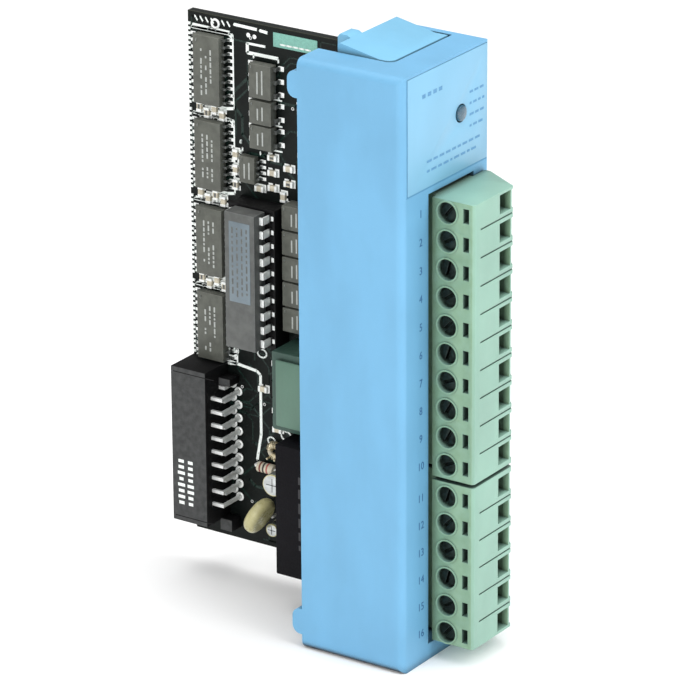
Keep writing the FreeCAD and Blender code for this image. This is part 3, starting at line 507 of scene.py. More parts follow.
class Builder:
    """Collects simple solids into one mesh."""

    def __init__(self):
        self.build = bmesh.new()

    def block(self, low, high):
        low, high = Vector(low), Vector(high)
        place = Matrix.Translation((low + high) / 2) @ Matrix.Diagonal((*(high - low), 1.0))
        bmesh.ops.create_cube(self.build, size=1.0, matrix=place)

    def mark(self, face, low_y, low_z, high_y, high_z, rise=MARK_RISE, sunk=MARK_SUNK):
        """A thin flat mark on a face that looks towards -X."""
        self.block((face - rise, low_y, low_z), (face + sunk, high_y, high_z))

    def turned_block(self, centre, size, turn):
        place = Matrix.Translation(centre) @ turn.to_4x4() @ Matrix.Diagonal((*size, 1.0))
        bmesh.ops.create_cube(self.build, size=1.0, matrix=place)

    def rod(self, start, end, radius, tip=None, sides=16):
        start, end = Vector(start), Vector(end)
        along = end - start
        place = Matrix.Translation((start + end) / 2) @ along.to_track_quat("Z", "Y").to_matrix().to_4x4()
        far = radius if tip is None else tip
        bmesh.ops.create_cone(self.build, cap_ends=True, segments=sides, radius1=radius, radius2=far,
                              depth=along.length, matrix=place)

    def tube(self, points, radius, closed=False, sides=8):
        """A round wire through the points."""
        points = [Vector(p) for p in points]
        count = len(points)
        rings = []
        for i, point in enumerate(points):
            before = points[i - 1] if closed or i else point
            after = points[(i + 1) % count] if closed or i < count - 1 else point
            turn = (after - before).to_track_quat("Z", "Y")
            ring = []
            for k in range(sides):
                angle = 2 * math.pi * k / sides
                offset = turn @ Vector((math.cos(angle), math.sin(angle), 0.0)) * radius
                ring.append(self.build.verts.new(point + offset))
            rings.append(ring)
        last = count if closed else count - 1
        for i in range(last):
            here, there = rings[i], rings[(i + 1) % count]
            shift = min(range(sides), key=lambda k: (there[k].co - here[0].co).length)
            for k in range(sides):
                self.build.faces.new((here[k], here[(k + 1) % sides],
                                      there[(k + 1 + shift) % sides], there[(k + shift) % sides]))
        if not closed:
            self.build.faces.new(rings[0])
            self.build.faces.new(rings[-1])

    def ring(self, centre, radius, wire, around=28):
        """A wire ring lying flat against the board."""
        centre = Vector(centre)
        circle = []
        for i in range(around):
            angle = 2 * math.pi * i / around
            circle.append(centre + Vector((0.0, math.cos(angle), math.sin(angle))) * radius)
        self.tube(circle, wire, closed=True, sides=6)

    def piece(self, name, material, slot, bevel=0.0, body="housing"):
        bmesh.ops.recalc_face_normals(self.build, faces=self.build.faces)
        mesh = bpy.data.meshes.new(name)
        self.build.to_mesh(mesh)
        self.build.free()
        if bevel:
            mesh = rounded(mesh, bevel, 2, DETAIL_SHARP)
        shade_smooth(mesh, DETAIL_SHARP)
        return new_piece(name, mesh, material, body, slot)


def islands(node):
    """The low and high corners of each separate solid of a CAD node."""
    build = bmesh.new()
    build.from_mesh(NODES[node].data)
    bmesh.ops.remove_doubles(build, verts=build.verts, dist=MERGE)
    seen = set()
    boxes = []
    for start in build.verts:
        if start in seen:
            continue
        seen.add(start)
        found = [start]
        for vert in found:
            for edge in vert.link_edges:
                other = edge.other_vert(vert)
                if other not in seen:
                    seen.add(other)
                    found.append(other)
        low = Vector([min(v.co[i] for v in found) for i in range(3)])
        high = Vector([max(v.co[i] for v in found) for i in range(3)])
        boxes.append((low, high))
    build.free()
    return boxes


def on_board(y, z, rise=0.0):
    """A point rise above the board's component face, from its Y and Z in millimetres."""
    return Vector((BOARD_FACE - rise * MM, y * MM, z * MM))


def board_line(builder, points, width, thick=PRINT, face=None, out=-1.0):
    """A flat line of the given width along Y, Z points in metres, on one face of the board."""
    face = BOARD_FACE if face is None else face
    middle = face + out * thick / 2
    for (y0, z0), (y1, z1) in zip(points, points[1:]):
        along = Vector((0.0, y1 - y0, z1 - z0))
        turn = Matrix.Rotation(math.atan2(along.z, along.y), 3, "X")
        centre = Vector((middle, (y0 + y1) / 2, (z0 + z1) / 2))
        builder.turned_block(centre, (thick, along.length, width), turn)
    for y, z in points:
        builder.rod((face, y, z), (face + out * thick, y, z), width / 2, sides=10)


def frame_points(low, high, margin):
    """The corners of a closed outline round a package, as Y and Z."""
    y0, y1 = low.y - margin, high.y + margin
    z0, z1 = low.z - margin, high.z + margin
    return [(y0, z0), (y0, z1), (y1, z1), (y1, z0), (y0, z0)]


TALL_CHIP = 8 * MM
CHIPS = sorted((b for b in islands("surface_chips") if b[1].z - b[0].z > TALL_CHIP), key=lambda b: -b[0].z)
SMALL_CHIPS = [b for b in islands("surface_chips") if b[1].z - b[0].z <= TALL_CHIP]
ISOLATORS = sorted(islands("optocouplers"), key=lambda b: -b[0].z)
LEGS = sorted(islands("chip_legs"), key=lambda b: (round(b[0].z, 5), b[0].y))
PASSIVES = sorted(islands("board_passives"), key=lambda b: (round(b[0].z, 5), b[0].y))
HEADER_PINS = islands("header_pins")
CONNECTOR_LEGS = islands("rack_connector_legs")
CAPACITORS = sorted(islands("board_capacitors"), key=lambda b: b[0].z)


def is_small_block(low, high):
    return high.x - low.x < 0.8 * MM


# ---------------- printed board

def package_of(low, high):
    """The package that a leg belongs to."""
    middle = (low + high) / 2
    packages = CHIPS + SMALL_CHIPS + ISOLATORS
    return min(packages, key=lambda b: abs((b[0].y + b[1].y) / 2 - middle.y)
               + 4 * max(0.0, b[0].z - middle.z, middle.z - b[1].z))


def leg_solder():
    """A pad and a heap of solder under every surface-mounted leg."""
    pads = Builder()
    for low, high in LEGS:
        package = package_of(low, high)
        outward = 1.0 if (low.y + high.y) / 2 > (package[0].y + package[1].y) / 2 else -1.0
        tip = high.y if outward > 0 else low.y
        far = tip + outward * 0.55 * MM
        near = tip - outward * 0.5 * MM
        rear_limit = BOARD_HIGH.y - 0.05 * MM
        y0, y1 = min(near, far), min(max(near, far), rear_limit)
        pads.block((BOARD_FACE - PAD, y0, low.z - 0.10 * MM), (BOARD_FACE, y1, high.z + 0.10 * MM))
        heap0, heap1 = min(tip, near), max(tip, near)
        pads.block((BOARD_FACE - 0.22 * MM, heap0 - 0.08 * MM, low.z - 0.05 * MM),
                   (BOARD_FACE, min(heap1 + 0.08 * MM, rear_limit), high.z + 0.05 * MM))
    pads.piece("leg_solder", SOLDER, "tinned_metal", 0.03 * MM)


def passive_ends():
    """Tinned end caps and pads on the small blocks, and marks on every third one."""
    ends = Builder()
    tops = Builder()
    for count, (low, high) in enumerate(PASSIVES):
        if not is_small_block(low, high):
            continue
        skin = 0.025 * MM
        size_y, size_z = high.y - low.y, high.z - low.z
        if size_y > size_z:
            share = size_y * 0.24
            spans = [((low.y - skin, low.y + share), (low.z - skin, high.z + skin)),
                     ((high.y - share, high.y + skin), (low.z - skin, high.z + skin))]
        else:
            share = size_z * 0.24
            spans = [((low.y - skin, high.y + skin), (low.z - skin, low.z + share)),
                     ((low.y - skin, high.y + skin), (high.z - share, high.z + skin))]
        for (y0, y1), (z0, z1) in spans:
            ends.block((low.x - skin, y0, z0), (BOARD_FACE, y1, z1))
            grow = 0.22 * MM
            ends.block((BOARD_FACE - PAD, y0 - grow, z0 - grow), (BOARD_FACE, y1 + grow, z1 + grow))
        if count % 3 == 0:
            inset = 0.28
            tops.block((low.x - 0.02 * MM, low.y + size_y * inset, low.z + size_z * inset),
                       (low.x, high.y - size_y * inset, high.z - size_z * inset))
    ends.piece("passive_ends", SOLDER, "tinned_metal", 0.04 * MM)
    tops.piece("passive_tops", SURFACES["chip_black"], "chip_black")


def connector_outline(lines):
    """The printed outline in front of the rack connector."""
    low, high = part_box("rack_connector")
    front = low.y - 4.6 * MM
    top = high.z - 0.3 * MM
    corner = 0.8 * MM
    board_line(lines, [(high.y - 6.0 * MM, top + 2.2 * MM), (high.y - 6.2 * MM, top + 0.6 * MM),
                       (front + corner, top - 0.2 * MM), (front, top - corner), (front, low.z + 19.0 * MM),
                       (front + 0.9 * MM, low.z + 14.0 * MM)], BOLD)


def edge_ticks(lines, top, count):
    """A column of ticks down the board's rear edge."""
    for i in range(count):
        z = top - i * 0.9 * MM
        lines.block((BOARD_FACE - 0.25 * MM, BOARD_HIGH.y - 0.6 * MM, z - 0.22 * MM),
                    (BOARD_FACE, BOARD_HIGH.y - 0.02 * MM, z + 0.22 * MM))


def chip_outlines(lines):
    """Outlines, brackets and end arcs round the four tall chips."""
    for low, high in CHIPS:
        front, rear = low.y - 1.7 * MM, min(high.y + 1.5 * MM, BOARD_HIGH.y - 0.4 * MM)
        top, bottom = high.z + 0.5 * MM, low.z - 0.4 * MM
        board_line(lines, [(rear, top), (front, top), (front, bottom)], FINE)
        board_line(lines, [(front, bottom), (front + 1.6 * MM, bottom - 0.3 * MM), (rear, bottom)], BOLD)
        board_line(lines, [(rear, top), (front + 0.8 * MM, top), (front, top - 0.8 * MM)], BOLD)
        edge_ticks(lines, top + 0.6 * MM, int((high.z - low.z + 3.0 * MM) / (0.9 * MM)))
        arc = []
        for i in range(9):
            angle = math.pi * i / 8
            arc.append(((low.y + high.y) / 2 + 0.9 * MM * math.cos(angle),
                        high.z + 0.35 * MM + 0.7 * MM * math.sin(angle)))
        board_line(lines, arc, FINE)


def small_outlines(lines):
    """Ticks and a base line round the small packages, and the converter's corner."""
    for low, high in SMALL_CHIPS + ISOLATORS[:3]:
        for y in (low.y - 0.3 * MM, high.y + 0.3 * MM):
            board_line(lines, [(y, high.z + 0.25 * MM), (y + 0.02 * MM, high.z + 0.9 * MM)], FINE)
        base = low.z - 0.35 * MM
        board_line(lines, [(low.y - 1.0 * MM, base), (high.y + 1.0 * MM, base)], FINE)
    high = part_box("power_converter")[1]
    y, z = high.y + 0.7 * MM, high.z - 5.0 * MM
    board_line(lines, [(y, z - 6.0 * MM), (y, z), (y - 3.0 * MM, z)], BOLD)


def top_bracket(lines):
    """A bracket near the board's top edge."""
    y, z = 29.2 * MM, 98.6 * MM
    end, tall, thick = y + 6.5 * MM, 1.7 * MM, 0.62 * MM
    board_line(lines, [(y, z), (end, z)], thick)
    board_line(lines, [(end, z), (end, z + tall)], thick)
    board_line(lines, [(end, z + tall), (y + 2.7 * MM, z + tall)], 0.42 * MM)


def gap_print(lines):
    """Ticks, a wavy line and bright strokes among the small parts in each gap between the chips."""
    for low, high in CHIPS[:-1]:
        for i in range(6):
            y = high.y - i * 0.95 * MM
            tall = 0.35 * MM + 0.45 * MM * random.random()
            z = low.z - 3.3 * MM + 0.5 * MM * random.random()
            board_line(lines, [(y, z), (y, z + tall)], FINE)
        wave = [(high.y + 1.2 * MM - i * 1.05 * MM, low.z - 2.55 * MM - 0.35 * MM * math.sin(i * 1.1))
                for i in range(8)]
        board_line(lines, wave, FINE)
        for i in range(5):
            y = high.y - (0.2 + 1.25 * i) * MM
            z = low.z - (0.9 + 0.5 * (i % 2)) * MM
            board_line(lines, [(y, z), (y - 0.45 * MM, z - 0.1 * MM)], 0.5 * MM)


def loops_and_dots(lines):
    """Loops round the solder spots between the rack connector and the socketed chip, and dots."""
    for y, z, radius in ((33.4, 43.1, 1.0), (40.0, 42.4, 1.5), (28.4, 28.4, 1.1), (31.6, 26.8, 0.8)):
        loop = []
        for i in range(11):
            angle = i * math.pi / 5
            loop.append(((y + radius * math.cos(angle)) * MM, (z + radius * 0.8 * math.sin(angle)) * MM))
        board_line(lines, loop, FINE)
    for y, z in ((40.5, 42.3), (39.4, 42.5), (37.4, 80.1), (37.4, 82.0), (31.2, 81.6), (33.4, 76.0)):
        board_line(lines, [(y * MM, z * MM), ((y - 0.25) * MM, z * MM)], 0.75 * MM)


def edge_band(lines):
    """The printed band and slanted ticks along the board's top edge."""
    edge = BOARD_HIGH.z
    for y0, y1, drop in ((39.4, 47.2, 2.6), (33.6, 38.4, 1.1), (31.4, 33.0, 1.3)):
        board_line(lines, [(y0 * MM, edge - drop * MM), (y1 * MM, edge - (drop - 0.15) * MM)], BOLD)
    for i in range(7):
        y = (46.8 - 1.15 * i) * MM
        board_line(lines, [(y, edge - 0.75 * MM), (y - 0.55 * MM, edge - 1.55 * MM)], FINE)


def white_print():
    """Silkscreen on the component face."""
    lines = Builder()
    chip_outlines(lines)
    small_outlines(lines)
    connector_outline(lines)
    top_bracket(lines)
    gap_print(lines)
    loops_and_dots(lines)
    edge_band(lines)
    lines.piece("silkscreen_front", PRINT_WHITE, "board_green")


def through_holes():
    """Bright test pads, plated holes and vias on the component face."""
    plated = Builder()
    pad_radius = 0.42 * MM
    for y, z in ((35.5, 101.8), (34.2, 101.7)):
        plated.rod(on_board(y, z), on_board(y, z, 0.12), pad_radius, pad_radius * 0.6)
    plated.ring(on_board(42.4, 102.7, 0.05), 0.75 * MM, 0.22 * MM)
    for low, high in CONNECTOR_LEGS:
        plated.ring((BOARD_FACE, low.y + LEG_HOLE, (low.z + high.z) / 2), 0.62 * MM, 0.24 * MM, 16)
    for i in range(46):
        y = (13.0 + 34.0 * random.random()) * MM
        z = (9.0 + 93.0 * random.random()) * MM
        plated.ring((BOARD_FACE, y, z), 0.24 * MM, 0.07 * MM, 10)
    plated.piece("plated_holes", SOLDER, "tinned_metal")


def track_points(start_y, start_z, steps, pace):
    """One etched track: straight runs joined by 45 degree bends, kept on the board."""
    points = [(start_y, start_z)]
    heading = random.choice((0, 2, 4, 6))
    for _ in range(steps):
        length = pace * (0.6 + 1.8 * random.random())
        angle = heading * math.pi / 4
        y = points[-1][0] + length * math.cos(angle)
        z = points[-1][1] + length * math.sin(angle)
        y = min(max(y, BOARD_LOW.y + 1.0 * MM), BOARD_HIGH.y - 0.8 * MM)
        z = min(max(z, BOARD_LOW.z + 1.0 * MM), BOARD_HIGH.z - 1.0 * MM)
        if abs(y - points[-1][0]) + abs(z - points[-1][1]) > 0.2 * MM:
            points.append((y, z))
        heading = (heading + random.choice((-1, 1))) % 8
    return points


def etched_tracks(name, face, out, count, start_low, start_high):
    tracks = Builder()
    for i in range(count):
        y = start_low[0] + (start_high[0] - start_low[0]) * random.random()
        z = start_low[1] + (start_high[1] - start_low[1]) * random.random()
        points = track_points(y * MM, z * MM, 6, 2.6 * MM)
        width = random.choice((0.22, 0.22, 0.30, 0.55)) * MM
        board_line(tracks, points, width, COPPER, face, out)
    tracks.piece(name, MASKED_COPPER, "board_green")


def dip_leg_heights(low, high):
    """The Z of each leg in a row, for a package with these corners."""
    return [(low.z + high.z) / 2 + (i - (DIP_LEGS - 1) / 2) * DIP_PITCH for i in range(DIP_LEGS)]


def tail_spots():
    """The Y, the Z and the solder's radius at every tail that comes through the board."""
    spots = [(high.y - 0.5 * MM, (low.z + high.z) / 2, 1.15 * MM) for low, high in HEADER_PINS]
    spots += [(low.y + LEG_HOLE, (low.z + high.z) / 2, 0.75 * MM) for low, high in CONNECTOR_LEGS]
    low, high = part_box("chip_socket")
    for side in (-1, 1):
        y = (low.y + high.y) / 2 + side * DIP_ROW
        spots += [(y, z, 0.8 * MM) for z in dip_leg_heights(low, high)]
    for node in ("transformer", "power_converter"):
        low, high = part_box(node)
        for y in (low.y + 1.6 * MM, high.y - 1.6 * MM):
            heights = (low.z + 1.8 * MM, (low.z + high.z) / 2, high.z - 1.8 * MM)
            spots += [(y, z, 1.0 * MM) for z in heights]
    for low, high in CAPACITORS:
        middle = (low + high) / 2
        spots += [(middle.y, middle.z + side * 1.25 * MM, 0.8 * MM) for side in (-1, 1)]
    return spots


def solder_side():
    """Domes of solder round every tail on the back of the board, with their printed rings."""
    domes = Builder()
    rings = Builder()
    face = BOARD_REAR_FACE
    sunk = 0.01 * MM
    for y, z, radius in tail_spots():
        for (low_rise, low_share), (high_rise, high_share) in zip(DOME, DOME[1:]):
            domes.rod((face + low_rise * MM - sunk, y, z), (face + high_rise * MM, y, z),
                      radius * low_share, radius * high_share, 20)
        rings.ring((face, y, z), radius + 0.22 * MM, 0.05 * MM, 20)
    domes.piece("solder_domes", SOLDER, "tinned_metal", 0.06 * MM)
    rings.piece("solder_rings", PRINT_WHITE, "board_green")


def rear_print():
    lines = Builder()
    face = BOARD_REAR_FACE
    margins = {"rack_connector": 0.5 * MM, "chip_socket": 0.4 * MM, "power_converter": 0.5 * MM,
               "transformer": 0.5 * MM}
    for node, margin in margins.items():
        low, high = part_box(node)
        high = Vector((high.x, min(high.y, BOARD_HIGH.y - 1.0 * MM), high.z))
        board_line(lines, frame_points(low, high, margin), 0.24 * MM, PRINT, face, 1.0)
    for i in range(14):
        y = (14.0 + 2.1 * i) * MM
        board_line(lines, [(y, 87.0 * MM), (y, (88.0 + 0.8 * (i % 3)) * MM)], 0.3 * MM, PRINT, face, 1.0)
    lines.piece("silkscreen_back", PRINT_WHITE, "board_green")


def mint_glare():
    """A painted highlight: a mint patch with rounded corners near the board's top edge, for glare on the
    board.
    """
    patch = Builder()
    patch.block(on_board(21.0, 100.7, 0.10), on_board(30.2, 103.3))
    patch.piece("mint_glare", MINT_GLARE, "board_green", 0.04 * MM)
    ticks = Builder()
    for i in range(5):
        y = (28.6 - 1.3 * i) * MM
        board_line(ticks, [(y, 101.3 * MM), (y - 0.9 * MM, 101.3 * MM)], 0.3 * MM, 0.125 * MM)
    ticks.piece("mint_ticks", PRINT_WHITE, "board_green")


# ---------------- marks on the components

def dashes(start, stop, least, spare, gap):
    """The ends of bars of random length, one below the other from start to about stop."""
    z = start
    while z > stop:
        long = (least + spare * random.random()) * MM
        yield z - long, z
        z -= long + gap


def pin_one_dot(marks, low, high, inset_y, inset_z, radius):
    y, z = high.y - inset_y, high.z - inset_z
    marks.rod((low.x + MARK_SUNK, y, z), (low.x - MARK_RISE, y, z), radius)


def chip_marks():
    """Pin-one dots and rows of generic bars in place of markings."""
    marks = Builder()
    for low, high in CHIPS:
        pin_one_dot(marks, low, high, 0.8 * MM, 0.9 * MM, 0.32 * MM)
        for row in range(3):
            y = (low.y + high.y) / 2 + (row - 1) * 1.0 * MM
            for z0, z1 in dashes(high.z - 2.4 * MM, low.z + 2.2 * MM, 0.35, 0.7, 0.30 * MM):
                if random.random() > 0.25:
                    marks.mark(low.x, y - 0.16 * MM, z0, y + 0.16 * MM, z1)
    for low, high in ISOLATORS + SMALL_CHIPS:
        pin_one_dot(marks, low, high, 0.6 * MM, 0.6 * MM, 0.24 * MM)
        for row in (-0.5, 0.5):
            y = (low.y + high.y) / 2 + row * 1.0 * MM
            marks.mark(low.x, y - 0.14 * MM, low.z + 0.8 * MM, y + 0.14 * MM, high.z - (1.2 + 0.4 * row) * MM)
    marks.piece("package_marks", PRINT_GREY, "chip_grey")


def chip_label():
    """A silvery label on the socketed chip, with rows of generic bars."""
    low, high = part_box("socketed_chip")
    middle = (low.y + high.y) / 2
    label = Builder()
    half = 2.2 * MM
    label.mark(low.x, middle - half, high.z - 16.5 * MM, middle + half, high.z - 1.6 * MM, 0.05 * MM, 0.0)
    label.piece("chip_label", LABEL_SILVER, "chip_black", 0.02 * MM)
    marks = Builder()
    for row in range(4):
        y = middle - 1.5 * MM + row * 1.0 * MM
        for z0, z1 in dashes(high.z - 2.6 * MM, high.z - 15.0 * MM, 0.4, 1.1, 0.45 * MM):
            marks.mark(low.x, y - 0.18 * MM, z0, y + 0.18 * MM, z1, 0.062 * MM, -0.04 * MM)
    marks.piece("chip_label_marks", SURFACES["chip_black"], "chip_black")


def dip_plating():
    """Bright plating on the socketed chip's legs, and the socket's contacts beside them."""
    low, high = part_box("socketed_chip")
    socket_low, socket_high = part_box("chip_socket")
    skin = 0.04 * MM
    leg, half_wide, half_contact = 0.26 * MM, 0.65 * MM, 0.42 * MM
    shoulder = (low.x + socket_low.x) / 2 - 0.35 * MM
    plating = Builder()

    def plate(x0, x1, y, inward, z, half):
        plating.block((x0, min(y, y + inward), z - half), (x1, max(y, y + inward), z + half))

    for side in (-1, 1):
        outer = low.y - skin if side < 0 else high.y + skin
        contact = socket_low.y + 0.2 * MM if side < 0 else socket_high.y - 0.2 * MM
        for z in dip_leg_heights(low, high):
            plate(shoulder, socket_low.x - 0.2 * MM, outer, -side * (leg + 2 * skin), z, half_wide + skin)
            plate(shoulder - skin, shoulder + leg, outer, -side * 0.75 * MM, z, half_wide + skin)
            plate(socket_low.x - skin, socket_low.x + 0.1 * MM, contact, -side * 0.55 * MM, z, half_contact)
    plating.piece("dip_plating", SOLDER, "tinned_metal", 0.06 * MM)


def connector_marks():
    """Two short columns of generic ticks on the connector's left face, and its rims."""
    low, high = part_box("rack_connector")
    low.z += FOOT_DROP
    marks = Builder()
    for column in range(2):
        y = high.y - (1.9 + 2.0 * column) * MM
        for i in range(8):
            z = low.z + (3.6 + 1.15 * i) * MM
            wide = (0.45 + 0.35 * random.random()) * MM
            marks.mark(low.x, y - wide, z - 0.30 * MM, y + wide, z + 0.30 * MM, 0.02 * MM, 0.01 * MM)
    marks.piece("connector_marks", PRINT_WHITE, "connector_black")
    rims = Builder()
    half, inset = 0.08 * MM, 0.5 * MM
    for z in (low.z + 0.9 * MM, high.z - 0.9 * MM):
        rims.mark(low.x, low.y + inset, z - half, high.y - inset, z + half, 0.015 * MM, 0.01 * MM)
    rims.piece("connector_rims", SURFACES["socket_black"], "connector_black")


def is_ring(low, high):
    return min(high.y - low.y, high.z - low.z) > 3.0 * MM


def choke_winding():
    """Enamelled wire wound round the ring core."""
    low, high = next(b for b in PASSIVES if is_ring(*b))
    centre = (low + high) / 2
    wire = (high.x - low.x) / 2
    radius = (high.y - low.y) / 2 - wire
    turns, steps = 17, 12
    points = []
    for i in range(turns * steps):
        around = 2 * math.pi * i / (turns * steps) * 0.86
        spin = 2 * math.pi * i / steps
        reach = radius + (wire + 0.14 * MM) * math.cos(spin)
        points.append(centre + Vector(((wire + 0.14 * MM) * math.sin(spin), reach * math.cos(around),
                                       reach * math.sin(around))))
    winding = Builder()
    winding.tube(points, 0.17 * MM, sides=6)
    for side in (-1, 1):
        foot = Vector((BOARD_FACE, centre.y + side * 0.8 * MM, centre.z - radius))
        winding.rod(foot, foot - Vector((2.4 * MM, 0, 0)), 0.17 * MM)
    winding.piece("choke_winding", COPPER_WIRE, "passive_pale")


def axial_resistor_detail():
    """Colour bands and bent leads of the axial resistor, which lies along Y."""
    low, high = next(b for b in PASSIVES if b[1].x - b[0].x > 1.5 * MM)
    centre = (low + high) / 2
    radius = (high.z - low.z) / 2
    for i, band in enumerate(BAND_INKS):
        ring = Builder()
        y = high.y - (0.75 + 0.75 * i) * MM
        ring.rod((centre.x, y - 0.17 * MM, centre.z), (centre.x, y + 0.17 * MM, centre.z), radius + 0.02 * MM,
                 sides=28)
        ring.piece("resistor_band_%d" % i, band, "passive_pale")
    leads = Builder()
    for y, out in ((high.y, 1), (low.y, -1)):
        bend = y + out * 0.9 * MM
        leads.tube([(centre.x, y - out * 0.2 * MM, centre.z), (centre.x, bend - out * 0.25 * MM, centre.z),
                    (centre.x + 0.25 * MM, bend, centre.z), (BOARD_FACE, bend, centre.z)], 0.24 * MM)
    leads.piece("resistor_leads", SOLDER, "tinned_metal")


def capacitor_detail():
    """Vent scores, tops and sleeves on the cans, and leads under the disc."""
    disc, *cans = sorted(CAPACITORS, key=lambda b: -(b[1] - b[0]).y)
    leads = Builder()
    disc_centre = (disc[0] + disc[1]) / 2
    for side in (-1, 1):
        start = Vector((disc[1].x, disc_centre.y, disc_centre.z)) + side * Vector((0.0, 0.7, 1.2)) * MM
        start.x -= 0.6 * MM
        leads.tube([start, Vector((BOARD_FACE, start.y, start.z))], 0.28 * MM)
    leads.piece("capacitor_leads", SOLDER, "tinned_metal")
    scores = Builder()
    caps = Builder()
    sleeves = Builder()
    for low, high in cans:
        centre = (low + high) / 2
        radius = (high.y - low.y) / 2 - 0.15 * MM
        for size in ((0.03 * MM, radius * 1.3, 0.12 * MM), (0.03 * MM, 0.12 * MM, radius * 1.3)):
            scores.turned_block(Vector((low.x - 0.02 * MM, centre.y, centre.z)), size, Matrix.Identity(3))
        caps.rod((low.x - 0.02 * MM, centre.y, centre.z), (low.x + 0.30 * MM, centre.y, centre.z),
                 radius - 0.12 * MM, sides=36)
        sleeves.rod((low.x + 0.35 * MM, centre.y, centre.z), (BOARD_FACE - 0.9 * MM, centre.y, centre.z),
                    radius + 0.05 * MM, sides=36)
    caps.piece("can_tops", CAN_TOP, "capacitor_olive", 0.04 * MM)
    scores.piece("vent_scores", SURFACES["socket_black"], "capacitor_olive")
    sleeves.piece("can_sleeves", CAN_SLEEVE, "capacitor_olive", 0.05 * MM)


def transformer_detail():
    """A taped winding on the transformer's face, and the tape's seams."""
    low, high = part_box("transformer")
    tape = Builder()
    tape.block((low.x - 0.05 * MM, low.y + 1.4 * MM, low.z + 1.2 * MM),
               (low.x + 0.5 * MM, high.y - 1.4 * MM, high.z - 1.2 * MM))
    tape.piece("winding_tape_top", TAPE_PALE, "transformer_green", 0.3 * MM)
    lines = Builder()
    proud = 0.02 * MM
    for i in range(3):
        z = low.z + (2.6 + 3.2 * i) * MM
        for y in (low.y, high.y):
            lines.block((low.x + 0.72 * MM, y - proud, z), (high.x - 1.6 * MM, y + proud, z + 0.22 * MM))
    lines.piece("tape_seams", SURFACES["socket_black"], "transformer_green")


def converter_detail():
    """A few dark bars on the converter's case, in place of markings."""
    low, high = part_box("power_converter")
    bars = Builder()
    for row in range(2):
        y = low.y + (3.6 + 2.6 * row) * MM
        for z0, z1 in dashes(high.z - 5.2 * MM, low.z + 6.4 * MM, 0.7, 1.4, 0.9 * MM):
            bars.mark(low.x, y - 0.25 * MM, z0, y + 0.25 * MM, z1, 0.02 * MM, 0.01 * MM)
    bars.piece("converter_bars", CONVERTER_MARK, "potted_black")


# ---------------- marks on the housing

def number_mesh(text, size, place):
    """A number that faces the front, centred on place."""
    curve = bpy.data.curves.new("number", "FONT")
    curve.body = text
    curve.size = size
    curve.align_x = "CENTER"
    curve.align_y = "CENTER"
    curve.extrude = PRINT / 2
    curve.resolution_u = 3
    rough = linked("number_rough", curve)
    bpy.context.view_layer.update()
    mesh = evaluated_mesh(rough)
    bpy.data.objects.remove(rough)
    mesh.transform(Matrix.Translation(place) @ Matrix.Rotation(math.radians(90), 4, "X"))
    return mesh


def terminal_numbers():
    """The numbers 1 to 16 on the strip beside the terminals."""
    build = bmesh.new()
    x, tall = -7.6 * MM, 2.0 * MM
    for i, z in enumerate(POLE_Z):
        build.from_mesh(number_mesh(str(i + 1), tall, Vector((x, FRONT_FACE - PRINT / 2, z))))
    mesh = bpy.data.meshes.new("terminal_numbers")
    build.to_mesh(mesh)
    build.free()
    new_piece("terminal_numbers", mesh, PRINT_BLUE, "housing", "panel_blue")


def panel_print():
    """Generic ticks and bars on the upper panel, in place of wording."""
    bars = Builder()
    front, back = PANEL_LOW.y - PRINT, PANEL_LOW.y + 0.002 * MM

    def bar(x, z, wide, tall):
        bars.block((x * MM, front, (z - tall / 2) * MM), ((x + wide) * MM, back, (z + tall / 2) * MM))

    def bar_row(z, x, stop, spare, gap):
        while x < stop:
            wide = 0.5 + spare * random.random()
            bar(x, z, min(wide, 11.9 - x), 0.4)
            x += wide + gap

    for i in range(4):
        bar(-7.4 + 1.7 * i, 103.4, 1.0, 0.7)
    for row in range(4):
        bar_row(100.2 - 2.0 * row, 7.2, 11.4, 0.8, 0.5)
    for row in range(2):
        bar_row(91.6 - 1.7 * row, -6.0, 9.5, 1.1, 0.55)
    bars.piece("panel_bars", PRINT_FAINT, "panel_blue")


def latch_springs():
    """Wound torsion springs: the coil and front arm stay put, and the back arm turns with its latch."""
    places = {j["name"]: Vector(j["pos_m"]) for j in frame["record"]["behaviour"]["joints"] if "pos_m" in j}
    wire, radius, turns, steps = 0.15 * MM, 1.0 * MM, 6, 16
    for end, side in (("top", 1), ("bottom", -1)):
        node = end + "_latch_spring"
        pivot = places[end + "_latch_press"]
        low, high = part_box(node)
        start_x, end_x = high.x - wire, low.x + wire
        top = pivot.z + side * radius
        points = [(start_x, low.y + wire, top), (start_x, pivot.y - 0.6 * MM, top)]
        for i in range(turns * steps + 1):
            angle = 2 * math.pi * i / steps
            x = start_x + (end_x - start_x) * i / (turns * steps)
            points.append((x, pivot.y + radius * math.sin(angle), pivot.z + side * radius * math.cos(angle)))
        coil = Builder()
        coil.tube(points, wire, sides=10)
        coil_piece = coil.piece(end + "_spring_coil", SURFACES["spring_steel"], "spring_steel",
                                body=BODY_OF[node])
        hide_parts(node)
        arm = Builder()
        arm.tube([(end_x, pivot.y + 0.12 * MM, top), (end_x, pivot.y + 2.0 * MM, top),
                  (end_x, high.y - wire, top)], wire, sides=10)
        arm.piece(end + "_spring_arm", SURFACES["spring_steel"], "spring_steel", body=end + "_latch")


def panel_shadow_line():
    """The shadow line at the panel's lower and left edges."""
    shadow_line = Builder()
    front, back = FRONT_FACE - PRINT, FRONT_FACE + 0.1 * MM
    gap = 0.02 * MM
    shadow_line.block((PANEL_LOW.x - 0.25 * MM, front, PANEL_LOW.z - 0.30 * MM),
               (PANEL_HIGH.x + 0.1 * MM, back, PANEL_LOW.z - gap))
    shadow_line.block((PANEL_LOW.x - 0.20 * MM, front, PANEL_LOW.z), (PANEL_LOW.x - gap, back, PANEL_HIGH.z))
    shadow_line.piece("panel_shadow_line", PANEL_SHADOW_BLUE, "panel_blue")


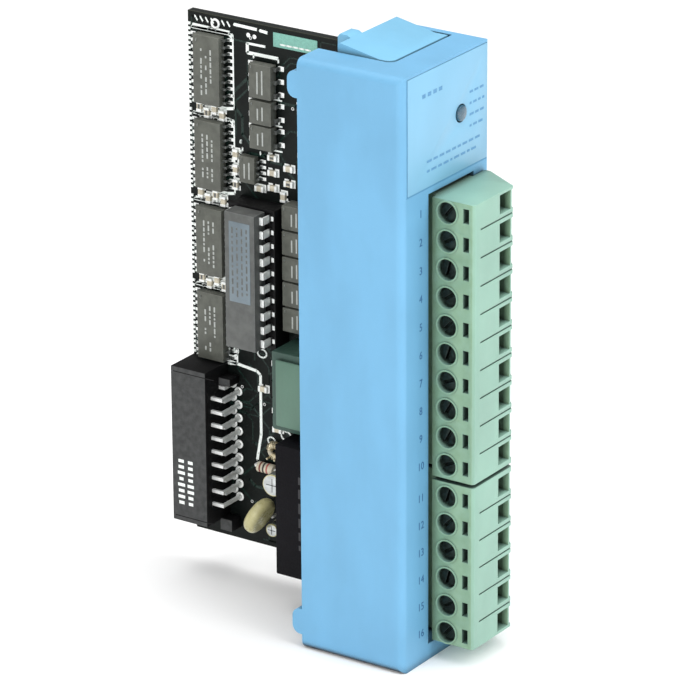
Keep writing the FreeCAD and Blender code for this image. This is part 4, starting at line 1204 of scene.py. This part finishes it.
def add_detail():
    leg_solder()
    passive_ends()
    white_print()
    through_holes()
    etched_tracks("tracks_front", BOARD_FACE, -1.0, 70, (12.0, 8.0), (47.0, 103.0))
    etched_tracks("tracks_back", BOARD_REAR_FACE, 1.0, 120, (-5.0, 8.0), (47.0, 103.0))
    solder_side()
    rear_print()
    mint_glare()
    chip_marks()
    chip_label()
    dip_plating()
    connector_marks()
    choke_winding()
    axial_resistor_detail()
    capacitor_detail()
    transformer_detail()
    converter_detail()
    terminal_numbers()
    panel_print()
    panel_shadow_line()
    latch_springs()


# ---------------- camera, floor and light

def add_camera():
    back = Vector((math.sin(VIEW_AZIMUTH) * math.cos(VIEW_ELEVATION),
                   -math.cos(VIEW_AZIMUTH) * math.cos(VIEW_ELEVATION), math.sin(VIEW_ELEVATION)))
    right = Vector((math.cos(VIEW_AZIMUTH), math.sin(VIEW_AZIMUTH), 0.0))
    up = back.cross(right)
    turned_right = right * math.cos(VIEW_ROLL) + up * math.sin(VIEW_ROLL)
    turned_up = up * math.cos(VIEW_ROLL) - right * math.sin(VIEW_ROLL)
    data = bpy.data.cameras.new("camera")
    data.lens = LENS
    data.sensor_width = SENSOR_WIDTH
    data.clip_start = CLIP_NEAR
    data.clip_end = CLIP_FAR
    camera = linked("camera", data)
    place = VIEW_TARGET + turned_right * VIEW_SHIFT_RIGHT + turned_up * VIEW_SHIFT_UP + back * VIEW_DISTANCE
    turn = Matrix((turned_right, turned_up, back)).transposed().to_4x4()
    camera.matrix_world = Matrix.Translation(place) @ turn
    SCENE.camera = camera


def add_floor():
    mesh = bpy.data.meshes.new("floor")
    build = bmesh.new()
    bmesh.ops.create_grid(build, x_segments=1, y_segments=1, size=FLOOR_HALF)
    build.to_mesh(mesh)
    build.free()
    mesh.materials.append(floor_surface().material)
    linked("floor", mesh)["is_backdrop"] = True


def add_softbox(name, place, size, power):
    data = bpy.data.lights.new(name, "AREA")
    data.shape = "RECTANGLE"
    data.size = size
    data.size_y = size
    data.energy = power
    light = linked(name, data)
    light.location = place
    light.rotation_euler = (LIGHT_AIM - Vector(place)).to_track_quat("-Z", "Y").to_euler()


def add_lights():
    for softbox in SOFTBOXES:
        add_softbox(*softbox)
    world = bpy.data.worlds.new("studio")
    world.use_nodes = True
    sky = world.node_tree.nodes["Background"]
    sky.inputs["Color"].default_value = (1.0, 1.0, 1.0, 1.0)
    sky.inputs["Strength"].default_value = SKY_STRENGTH
    SCENE.world = world
    SCENE.view_settings.view_transform = "Standard"


finish_nodes()
add_detail()
add_floor()
add_camera()
add_lights()


# ---------------- end

def plain(bounds):
    return [[float(value) for value in corner] for corner in bounds]


{"cad": plain(cad_bounds), "visual": plain(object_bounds())}
